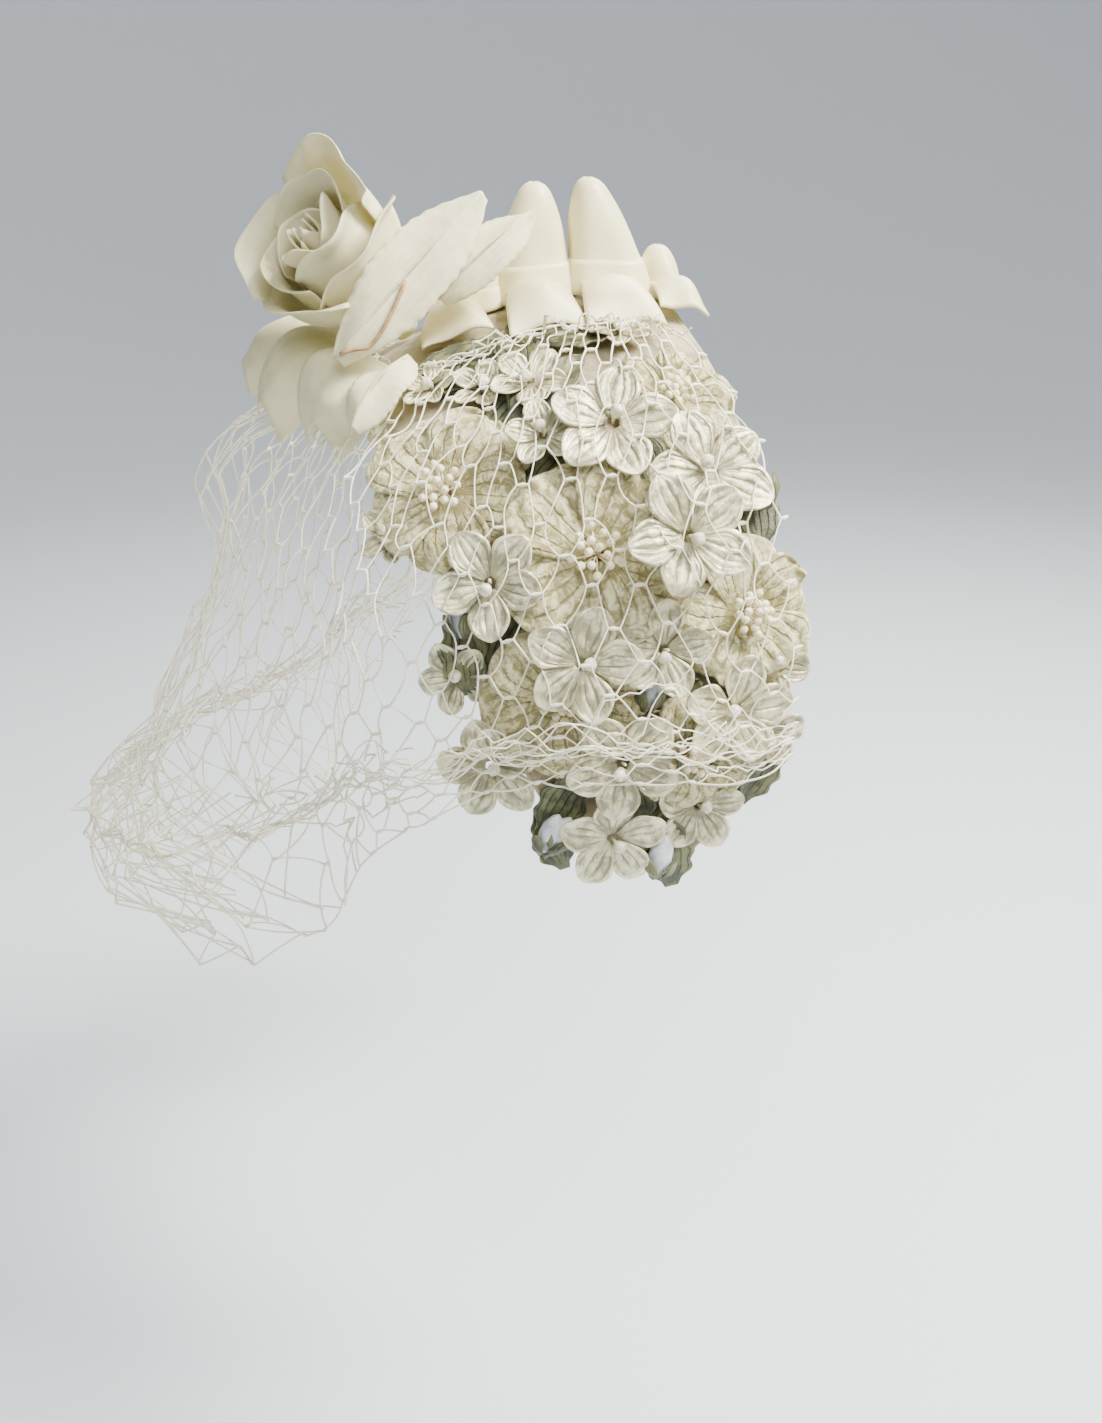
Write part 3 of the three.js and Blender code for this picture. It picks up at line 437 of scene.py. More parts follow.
class Graph:
    """Short calls for a material's node tree."""

    def __init__(self, name: str) -> None:
        """Start a material with its output and main shader.

        Args:
            name: The material's name.
        """
        self.material = bpy.data.materials.new(name)
        self.material.use_nodes = True
        self.tree = self.material.node_tree
        self.tree.nodes.clear()
        self.output = self.tree.nodes.new("ShaderNodeOutputMaterial")
        self.shader = self.tree.nodes.new("ShaderNodeBsdfPrincipled")
        self.link(self.shader.outputs["BSDF"], self.output.inputs["Surface"])

    def add(self, kind: str, inputs: dict | None = None, **settings: object) -> bpy.types.Node:
        """Add a node.

        Args:
            kind: The node's type, without its ShaderNode prefix.
            inputs: Values or links for its sockets, by name or number.
            settings: The node's own properties.

        Returns:
            The node.
        """
        node = self.tree.nodes.new("ShaderNode" + kind)
        for key, value in settings.items():
            setattr(node, key, value)
        for key, value in (inputs or {}).items():
            if isinstance(value, bpy.types.NodeSocket):
                self.link(value, node.inputs[key])
            else:
                node.inputs[key].default_value = value
        return node

    def link(self, source: bpy.types.NodeSocket, target: bpy.types.NodeSocket) -> None:
        """Join two sockets."""
        self.tree.links.new(source, target)

    def math(self, operation: str, *values: object) -> bpy.types.NodeSocket:
        """Work out one number.

        Args:
            operation: Blender's name of the operation.
            values: Numbers or sockets.

        Returns:
            The result's socket.
        """
        return self.add("Math", dict(enumerate(values)), operation=operation).outputs[0]

    def noise(
        self, scale: float, detail: float = 2.0, rough: float = 0.5, twist: float = 0.0
    ) -> bpy.types.NodeSocket:
        """Make noise in the object's own space.

        Args:
            scale: Features in a metre.
            detail: Octaves.
            rough: How strong the fine octaves are.
            twist: How far the pattern is twisted.

        Returns:
            The noise's value, about 0 to 1.
        """
        place = self.add("TexCoord").outputs["Object"]
        inputs = {"Vector": place, "Scale": scale, "Detail": detail, "Roughness": rough, "Distortion": twist}
        return self.add("TexNoise", inputs).outputs["Fac"]

    def ramp(self, share: bpy.types.NodeSocket, low: float, high: float) -> bpy.types.NodeSocket:
        """Stretch a smooth rise between two values to 0 to 1.

        Args:
            share: The value to stretch.
            low: What becomes 0.
            high: What becomes 1.

        Returns:
            The stretched value.
        """
        inputs = {"Value": share, "From Min": low, "From Max": high}
        return self.add("MapRange", inputs, interpolation_type="SMOOTHSTEP").outputs["Result"]

    def blend(self, share: object, first: object, second: object) -> bpy.types.NodeSocket:
        """Blend two colours.

        Args:
            share: How much of the second.
            first: A colour or socket.
            second: A colour or socket.

        Returns:
            The blended colour.
        """
        node = self.add("Mix", data_type="RGBA")
        for socket, value in ((node.inputs[0], share), (node.inputs[6], first), (node.inputs[7], second)):
            if isinstance(value, bpy.types.NodeSocket):
                self.link(value, socket)
            elif isinstance(value, tuple):
                socket.default_value = (*value, 1.0)
            else:
                socket.default_value = value
        return node.outputs[2]

    def bump(self, height: bpy.types.NodeSocket, depth: float) -> None:
        """Raise the surface by a height map.

        Args:
            height: Heights from 0 to 1.
            depth: The depth of a height of 1, in millimetres.
        """
        node = self.add("Bump", {"Height": height, "Strength": 1.0, "Distance": depth * MM})
        self.link(node.outputs["Normal"], self.shader.inputs["Normal"])

    def place(self) -> tuple[bpy.types.NodeSocket, bpy.types.NodeSocket]:
        """Read a sheet's own place.

        Returns:
            The place across and the place along it, each 0 to 1.
        """
        split = self.add("SeparateXYZ", {"Vector": self.add("UVMap", uv_map="cloth").outputs["UV"]})
        return split.outputs["X"], split.outputs["Y"]


@dataclass(frozen=True)
class Finish:
    """A cloth finish with soft mottling, the base of all the others.

    Attributes:
        name: The material's name.
        light: Colour of the raised parts.
        dark: Colour of the shaded parts.
        rough: Roughness.
        sheen: Weight of the soft sheen.
        mottle: Mottled patches in a metre.
        grain: Fine grain features in a metre.
        depth: Depth of the relief in millimetres.
        glow: Share of light that passes through the sheet.
        twist: How far the mottling is twisted, as in crushed pile.
        metal: Metallic share of its shine.
    """

    name: str
    light: Colour
    dark: Colour
    rough: float = 0.8
    sheen: float = 0.2
    mottle: float = 160.0
    grain: float = 2600.0
    depth: float = 0.12
    glow: float = 0.0
    twist: float = 0.0
    metal: float = 0.0

    def material(self) -> bpy.types.Material:
        """Make the material once, and give the same one later.

        Returns:
            The material.
        """
        name = self.name + "_finish"
        made = bpy.data.materials.get(name)
        if made:
            return made
        graph = Graph(name)
        self.shade(graph)
        return graph.material

    def shade(self, graph: Graph) -> None:
        """Fill in the shader.

        Args:
            graph: The material's tree.
        """
        marks = self.marks(graph)
        mottle = graph.ramp(graph.noise(self.mottle, 5, 0.62, self.twist), MOTTLE_LOW, MOTTLE_HIGH)
        tone = graph.add("Attribute", attribute_name="tone").outputs["Fac"]
        share = graph.math("MULTIPLY_ADD", tone, TONE_SHADE, mottle)
        # The marks darken the colour: pressed veins, and on petals and leaves a painted shade at the foot.
        share = graph.math("SUBTRACT", share, graph.math("MULTIPLY", marks, MARK_SHADE))
        clean = graph.add("Clamp", {"Value": share}).outputs[0]
        colour = self.tint(graph, graph.blend(clean, self.dark, self.light))
        graph.link(colour, graph.shader.inputs["Base Color"])
        graph.shader.inputs["Roughness"].default_value = self.rough
        graph.shader.inputs["Metallic"].default_value = self.metal
        graph.shader.inputs["Sheen Weight"].default_value = self.sheen
        graph.shader.inputs["Sheen Roughness"].default_value = SHEEN_ROUGHNESS
        grain = graph.noise(self.grain, 2, 0.6)
        relief = graph.math("MULTIPLY_ADD", grain, GRAIN_RELIEF, graph.math("MULTIPLY", marks, -1.0))
        graph.bump(graph.math("ADD", relief, graph.math("MULTIPLY", mottle, MOTTLE_RELIEF)), self.depth)
        if self.glow:
            through = graph.add("BsdfTranslucent", {"Color": colour})
            both = graph.add("MixShader", {0: self.glow, 1: graph.shader.outputs[0], 2: through.outputs[0]})
            graph.link(both.outputs[0], graph.output.inputs["Surface"])

    def marks(self, graph: Graph) -> bpy.types.NodeSocket:
        """Draw what darkens the cloth and dents its relief, such as pressed veins and painted shade; plain
        cloth has nothing.

        Args:
            graph: The material's tree.

        Returns:
            Depth of the marks, 0 to 1.
        """
        return graph.add("Value").outputs[0]

    def tint(self, graph: Graph, colour: bpy.types.NodeSocket) -> bpy.types.NodeSocket:
        """Change the colour; plain cloth keeps it.

        Args:
            graph: The material's tree.
            colour: The colour so far.

        Returns:
            The colour to use.
        """
        return colour


@dataclass(frozen=True)
class PetalFinish(Finish):
    """Petal cloth with pressed veins that fan out along it, and painted shade at its foot.

    Attributes:
        veins: Veins across the petal.
        vein_width: Their width, as a share of their spacing.
        reach: How far along the petal they run, as a share.
        foot: How far along the petal the painted shade at its foot reaches, as a share.
        foot_shade_strength: How dark that painted shade is, against a vein's.
    """

    veins: float = 7.0
    vein_width: float = 0.16
    reach: float = 0.92
    foot: float = 0.35
    foot_shade_strength: float = 0.8

    def marks(self, graph: Graph) -> bpy.types.NodeSocket:
        """Draw the veins, and the painted shade at the petal's foot.

        Args:
            graph: The material's tree.

        Returns:
            Depth of the marks, 0 to 1.
        """
        across, along = graph.place()
        wander = graph.math("MULTIPLY", graph.math("SUBTRACT", graph.noise(420, 2), 0.5), 0.5)
        lane = graph.math("ADD", graph.math("MULTIPLY", across, self.veins), wander)
        apart = graph.math("ABSOLUTE", graph.math("SUBTRACT", graph.math("FRACT", lane), 0.5))
        line = graph.math("SUBTRACT", 1.0, graph.ramp(apart, 0.0, self.vein_width))
        fade = graph.math("SUBTRACT", 1.0, graph.ramp(along, self.reach * 0.55, self.reach))
        # Painted shade: the colour darkens towards the foot of the petal or leaf, where the petals meet in
        # the flower's middle.
        foot = graph.math("SUBTRACT", 1.0, graph.ramp(along, 0.0, self.foot))
        shade = graph.math("MULTIPLY", foot, self.foot_shade_strength)
        return graph.math("MAXIMUM", graph.math("MULTIPLY", line, fade), shade)


@dataclass(frozen=True)
class StainedFinish(Finish):
    """Ribbon satin with faint age stains.

    Attributes:
        stain: Colour of the stains.
        patches: Stains in a metre.
        strength: How strong they are.
    """

    stain: Colour = (0.7, 0.52, 0.2)
    patches: float = 62.0
    strength: float = 0.5

    def tint(self, graph: Graph, colour: bpy.types.NodeSocket) -> bpy.types.NodeSocket:
        """Lay soft stains over the colour.

        Args:
            graph: The material's tree.
            colour: The colour so far.

        Returns:
            The stained colour.
        """
        patch = graph.ramp(graph.noise(self.patches, 3, 0.55), 0.5, 0.78)
        return graph.blend(graph.math("MULTIPLY", patch, self.strength), colour, self.stain)


VELVET = PetalFinish(
    "velvet", (0.78, 0.72, 0.42), (0.3, 0.26, 0.11),
    rough=0.95, sheen=0.2, mottle=440, grain=2600, depth=0.35, glow=0.03, twist=0.9,
)
SATIN = PetalFinish(
    "satin", (0.94, 0.88, 0.57), (0.36, 0.33, 0.2),
    rough=0.3, sheen=0.0, mottle=260, grain=3600, depth=0.25, glow=0.03, metal=0.3, veins=4, vein_width=0.2,
)
SILK = Finish(
    "silk", (0.86, 0.81, 0.54), (0.66, 0.62, 0.37),
    rough=0.6, sheen=0.1, mottle=45, grain=3000, depth=0.05, glow=0.25,
)
LEAF_VELVET = PetalFinish(
    "leaf_velvet", (0.9, 0.85, 0.58), (0.78, 0.73, 0.47),
    rough=0.7, sheen=0.1, mottle=300, grain=3000, depth=0.05, glow=0.25, veins=9, vein_width=0.15,
)
LEAF = PetalFinish(
    "leaf", (0.2, 0.2, 0.085), (0.06, 0.065, 0.032),
    rough=0.5, sheen=0.05, mottle=260, grain=2400, depth=0.25, glow=0.02, veins=6,
)
PEARL = Finish(
    "pearl", (0.86, 0.81, 0.62), (0.55, 0.5, 0.34), rough=0.25, sheen=0.0, mottle=900, grain=2600, depth=0.03
)
PIP = Finish(
    "pip", (0.93, 0.86, 0.6), (0.66, 0.56, 0.32), rough=0.5, sheen=0.0, mottle=900, grain=2600, depth=0.03
)
BUD = Finish(
    "bud", (0.72, 0.75, 0.78), (0.4, 0.42, 0.44), rough=0.32, sheen=0.1, mottle=300, grain=2600, depth=0.05
)
RIBBON = StainedFinish(
    "ribbon", (0.97, 0.92, 0.6), (0.84, 0.77, 0.45),
    rough=0.36, sheen=0.1, mottle=60, grain=3000, depth=0.05, glow=0.15,
)
NET = Finish(
    "net", (0.95, 0.91, 0.72), (0.8, 0.75, 0.56), rough=0.6, sheen=0.1, mottle=300, grain=3000, depth=0.03
)
WIRE = Finish(
    "wire", (0.42, 0.27, 0.12), (0.24, 0.15, 0.07), rough=0.6, sheen=0.0, mottle=300, grain=2600, depth=0.02
)
BAND = Finish(
    "band", (0.5, 0.43, 0.28), (0.26, 0.22, 0.13), rough=0.9, sheen=0.1, mottle=120, grain=1500, depth=0.15
)


# Flowers, buds and leaves


class Kind(Enum):
    """What a cluster piece is, with its slot name and the height of its solid over its foot."""

    VELVET = ("velvet", 4.2)
    SATIN = ("satin", 3.6)
    BUD = ("bud", 4.6)
    LEAF = ("leaf", 2.4)

    @property
    def slot(self) -> str:
        """Its material slot's name."""
        return self.value[0]

    @property
    def rise(self) -> float:
        """The solid's greatest height over its foot, in millimetres."""
        return self.value[1]


@dataclass(frozen=True)
class Spot:
    """Where one cluster piece lies.

    Attributes:
        name: Its name, which is also its CAD node's if it has one.
        kind: What it is.
        turn: Degrees round from the brow.
        drop: Degrees down from the crown.
        spin: Degrees that it is turned over the seat.
        size: Share of its kind's full size.
        lift: Height of its foot over the seat, if it has no CAD node to give it.
    """

    name: str
    kind: Kind
    turn: float
    drop: float
    spin: float
    size: float
    lift: float | None = None


class Lay:
    """Places points of a flower over the seat, as its CAD node lies."""

    def __init__(self, spot: Spot, mirrored: bool) -> None:
        """Find the flower's own directions and height.

        Args:
            spot: The flower's place.
            mirrored: Whether it lies on the other side.
        """
        self.origin, self.across, self.up = SEAT.tangents(spot.turn, spot.drop)
        self.spin = math.radians(spot.spin)
        self.mirrored = mirrored
        self.lift = spot.lift
        if spot.lift is None:
            self.lift = float(SEAT.height_of(node_points(spot.name)).max()) - spot.kind.rise

    def over(self, reach: Array | float, angle: Array | float, height: Array | float) -> Array:
        """Find points by their distance and angle round the flower.

        Args:
            reach: Distance from the flower's middle.
            angle: Angle round it, in radians.
            height: Height over its foot.

        Returns:
            Points in millimetres.
        """
        turned = np.asarray(angle, float) + self.spin
        flat = np.asarray(reach, float)[..., None] * (
            np.cos(turned)[..., None] * self.across + np.sin(turned)[..., None] * self.up
        )
        points = SEAT.over(self.origin + flat - SEAT.centre, self.lift + np.asarray(height, float))
        return points * MIRROR if self.mirrored else points


def petal_outline(along: Array, widest: float, base: float, blunt: float) -> Array:
    """Shape half of a petal's width.

    Args:
        along: Places from the base at 0 to the tip at 1.
        widest: Where the petal is widest.
        base: Its width at the base, as a share.
        blunt: How round its end is; 2 is a circle and less is pointed.

    Returns:
        Half widths, as shares of the widest.
    """
    rise = base + (1 - base) * ease(along, -0.15, widest)
    fall = (1 - np.clip((along - widest) / (1 - widest), 0, 1) ** blunt) ** (1 / blunt)
    return np.where(along < widest, rise, np.maximum(fall, 0))


@dataclass(frozen=True)
class VelvetFlower:
    """A velvet flower: five broad veined petals and a tuft of pips.

    Attributes:
        radius: From its middle to a petal's tip.
        petals: How many petals.
        breadth: Half of a petal's width, as a share of the radius.
        pips: Pips in the tuft.
        tuft: Radius of the tuft.
    """

    DOME_AT = (0, 0.24, 0.5, 0.7, 0.9, 1.1)
    DOME = (0.5, 0.75, 2.1, 2.9, 2.4, 1.2)
    PIP_OUTLINE = ((0, 0.24), (0.18, 0.74), (0.5, 1.02), (0.8, 0.76), (1, 0.2))
    PIP_TURN = 2.4

    radius: float = 18.5
    petals: int = 5
    breadth: float = 0.55
    pips: int = 17
    tuft: float = 4.6

    def make(self, mesh: Mesh, lay: Lay, size: float, rng: np.random.Generator) -> None:
        """Add the flower to a mesh.

        Args:
            mesh: The mesh to add to.
            lay: Where it lies.
            size: Share of the full size.
            rng: Random source of this flower.
        """
        for k in range(self.petals):
            self._petal(mesh, lay, size, 2 * math.pi * k / self.petals, rng)
        self._pips(mesh, lay, size, rng)

    def _petal(self, mesh: Mesh, lay: Lay, size: float, axis: float, rng: np.random.Generator) -> None:
        """Add one petal, higher on one side so that it laps over the next.

        Args:
            mesh: The mesh to add to.
            lay: Where the flower lies.
            size: Share of the full size.
            axis: The petal's angle round the flower, in radians.
            rng: Random source of this flower.
        """
        u, v = grid(22, 22)
        side = 2 * u - 1
        along = v**0.85 * 0.988
        reach = self.radius * size * (1 + rng.normal(0, 0.03))
        half = self.breadth * reach * petal_outline(along, 0.62, 0.3, 2.3)
        notch = 0.05 * reach * np.exp(-((side / 0.25) ** 2)) * ease(v, 0.7, 1)
        forward = reach * (0.07 + 0.93 * along) - notch
        sideways = half * side
        far = np.hypot(forward, sideways)
        share = far / reach
        dome = smooth_rows(share, self.DOME_AT, self.DOME)
        phase = rng.uniform(0, 2 * math.pi, 3)
        ruffle = 0.42 * np.sin(2.6 * side + phase[0]) * ease(v, 0.35, 1)
        ruffle += 0.3 * np.sin(7.5 * side + phase[1]) * ease(v, 0.6, 1)
        pleat = 0.34 * np.cos(4.4 * math.pi * side + phase[0]) * ease(v, 0.1, 0.5)
        lap = 1.05 * side * ease(v, 0.05, 0.4)
        lip = 1.1 * ease(v, 0.86, 1) * np.sin(3.1 * side + phase[2])
        angle = axis + np.arctan2(sideways, forward)
        mesh.sheet(lay.over(far, angle, dome + ruffle + pleat + lap + lip), 0.5, rng.normal(0, 0.6))

    def _pips(self, mesh: Mesh, lay: Lay, size: float, rng: np.random.Generator) -> None:
        """Add the tuft: thin stems that fan out, each with a pip at its end.

        Args:
            mesh: The mesh to add to.
            lay: Where the flower lies.
            size: Share of the full size.
            rng: Random source of this flower.
        """
        for k in range(self.pips):
            angle = self.PIP_TURN * k + rng.normal(0, 0.15)
            spread = self.tuft * size * math.sqrt((k + 0.5) / self.pips)
            tall = 4.6 - 1.4 * (spread / self.tuft) ** 2 + rng.normal(0, 0.25)
            shares = np.array((0, 0.5, 1))
            stem = lay.over(spread * shares**1.4, np.full(3, angle), 0.6 + (tall - 0.6) * shares)
            mesh.tube(stem, 0.22, 5, 0, 1)
            reaches = np.array((0.94, 1.26)) * spread
            ends = lay.over(reaches, np.full(2, angle), np.array((tall - 0.2, tall + 1.6)))
            mesh.drop(ends[0], ends[1], self.PIP_OUTLINE, 8, rng.normal(0.4, 0.5), 1)


@dataclass(frozen=True)
class SatinFlower:
    """A satin flower: five pointed ribbed petals and a pearl drop.

    Attributes:
        radius: From its middle to a petal's tip.
        petals: How many petals.
        breadth: Half of a petal's width, as a share of the radius.
        ribs: Height of the pressed ribs.
    """

    PEARL_OUTLINE = ((0, 0.3), (0.15, 0.75), (0.45, 1.25), (0.75, 1.5), (0.92, 1.05), (1, 0.35))

    radius: float = 11.6
    petals: int = 5
    breadth: float = 0.37
    ribs: float = 0.22

    def make(self, mesh: Mesh, lay: Lay, size: float, rng: np.random.Generator) -> None:
        """Add the flower to a mesh.

        Args:
            mesh: The mesh to add to.
            lay: Where it lies.
            size: Share of the full size.
            rng: Random source of this flower.
        """
        for k in range(self.petals):
            axis = 2 * math.pi * k / self.petals + rng.normal(0, 0.06)
            self._petal(mesh, lay, size, axis, rng)
        stem = lay.over(np.array((0, 0.3, 0.6)), np.zeros(3), np.array((0.4, 1.4, 2.4)))
        mesh.tube(stem, 0.35, 6, 0, 1)
        lean = rng.uniform(0, 2 * math.pi)
        ends = lay.over(np.array((0.4, 2.1)) * size, np.full(2, lean), np.array((1.6, 4.1)))
        mesh.drop(ends[0], ends[1], self.PEARL_OUTLINE, 12, rng.normal(0, 0.4), 1)

    def _petal(self, mesh: Mesh, lay: Lay, size: float, axis: float, rng: np.random.Generator) -> None:
        """Add one cupped petal with lengthwise ribs.

        Args:
            mesh: The mesh to add to.
            lay: Where the flower lies.
            size: Share of the full size.
            axis: The petal's angle round the flower, in radians.
            rng: Random source of this flower.
        """
        u, v = grid(18, 20)
        side = 2 * u - 1
        along = v**0.9 * 0.995
        reach = self.radius * size * (1 + rng.normal(0, 0.03))
        half = self.breadth * reach * petal_outline(along, 0.55, 0.14, 1.6)
        forward = reach * (0.1 + 0.9 * along)
        sideways = half * side
        far = np.hypot(forward, sideways)
        cup = 0.35 + 2.3 * (far / reach) ** 1.3 + 0.7 * side**2 * ease(v, 0.1, 0.5) * (1 - ease(v, 0.75, 1))
        ribs = self.ribs * np.cos(5 * math.pi * side) * ease(v, 0.05, 0.3) * (1 - ease(v, 0.7, 0.98))
        lap = 0.3 * side * (1 - ease(v, 0.5, 0.9))
        tip = rng.normal(0, 0.35) * ease(v, 0.75, 1)
        angle = axis + np.arctan2(sideways, forward)
        mesh.sheet(lay.over(far, angle, cup + ribs + lap + tip), 0.35, rng.normal(0, 0.5))


@dataclass(frozen=True)
class Bud:
    """A satin bud in a cup of small leaves.

    Attributes:
        length: Length of the bud.
        width: Greatest width of the bud.
        cup: Leaves of its cup.
    """

    OUTLINE = ((0, 0.12), (0.1, 0.5), (0.3, 0.9), (0.55, 1.0), (0.8, 0.66), (0.94, 0.34), (1, 0.12))

    length: float = 10.0
    width: float = 5.6
    cup: int = 4

    def make(self, mesh: Mesh, lay: Lay, size: float, rng: np.random.Generator) -> None:
        """Add the bud to a mesh.

        Args:
            mesh: The mesh to add to.
            lay: Where it lies.
            size: Share of the full size.
            rng: Random source of this bud.
        """
        half = self.length * size / 2
        middle = self.width * size / 2
        heights = np.array((middle + 0.4, middle + 0.2))
        ends = lay.over(np.array((half, half)), np.array((0, math.pi)), heights)
        mesh.drop(ends[0], ends[1], [(at, wide * middle) for at, wide in self.OUTLINE], 14)
        for k in range(self.cup):
            u, v = grid(6, 8)
            side = 2 * u - 1
            around = 2 * math.pi * (k + 0.5) / self.cup
            wrap = around + 0.62 * side * petal_outline(v * 0.97, 0.45, 0.6, 1.5)
            swell = middle * (0.35 + 0.8 * ease(v, 0, 0.6)) + 0.35
            x = -half * 1.02 + half * 1.1 * v
            y = swell * np.cos(wrap)
            z = middle + 0.3 + swell * np.sin(wrap)
            far = np.hypot(x, y)
            mesh.sheet(lay.over(far, np.arctan2(y, x), z), 0.3, rng.normal(0, 0.5), 1)


@dataclass(frozen=True)
class Leaf:
    """An olive cloth leaf with a folded rib and a lobed edge.

    Attributes:
        length: Length of the leaf.
        width: Greatest width of the leaf.
        fold: How far its sides rise over its rib.
        lobes: Lobes along each edge.
    """

    length: float = 24.0
    width: float = 12.0
    fold: float = 1.4
    lobes: float = 4.0

    def make(self, mesh: Mesh, lay: Lay, size: float, rng: np.random.Generator) -> None:
        """Add the leaf to a mesh.

        Args:
            mesh: The mesh to add to.
            lay: Where it lies.
            size: Share of the full size.
            rng: Random source of this leaf.
        """
        u, v = grid(12, 26)
        side = 2 * u - 1
        lobe = 1 + 0.12 * np.cos(2 * math.pi * self.lobes * v) * np.abs(side) ** 3
        half = self.width * size / 2 * petal_outline(v * 0.99, 0.42, 0.1, 1.5) * lobe
        x = self.length * size * (v - 0.5)
        y = half * side
        rise = 0.6 + self.fold * np.abs(side) * ease(v, 0, 0.3) + 0.35 * np.sin(5 * v + rng.uniform(0, 6))
        mesh.sheet(lay.over(np.hypot(x, y), np.arctan2(y, x), rise), 0.4, rng.normal(0, 0.5))


class Cluster:
    """The flowers, buds and leaves of one side."""

    MAKERS = {
        Kind.VELVET: (VelvetFlower(), (VELVET, PIP)),
        Kind.SATIN: (SatinFlower(), (SATIN, PEARL)),
        Kind.BUD: (Bud(), (BUD, LEAF)),
        Kind.LEAF: (Leaf(), (LEAF,)),
    }

    def __init__(self, spots: Sequence[Spot], mirrored: bool, seed: int) -> None:
        """Plan the side.

        Args:
            spots: Its pieces.
            mirrored: Whether it lies on the wearer's right.
            seed: Start of its random sources.
        """
        self.spots = spots
        self.mirrored = mirrored
        self.seed = seed

    def build(self) -> list[bpy.types.Object]:
        """Build every piece.

        Returns:
            The pieces.
        """
        pieces = []
        for number, spot in enumerate(self.spots):
            maker, finishes = self.MAKERS[spot.kind]
            rng = np.random.default_rng(self.seed + number)
            mesh = Mesh()
            maker.make(mesh, Lay(spot, self.mirrored), spot.size, rng)
            nodes = (spot.name,) if spot.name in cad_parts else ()
            piece = mesh.build(spot.name + "_cloth", finishes)
            pieces.append(settle(piece, spot.kind.slot, *nodes))
        return pieces


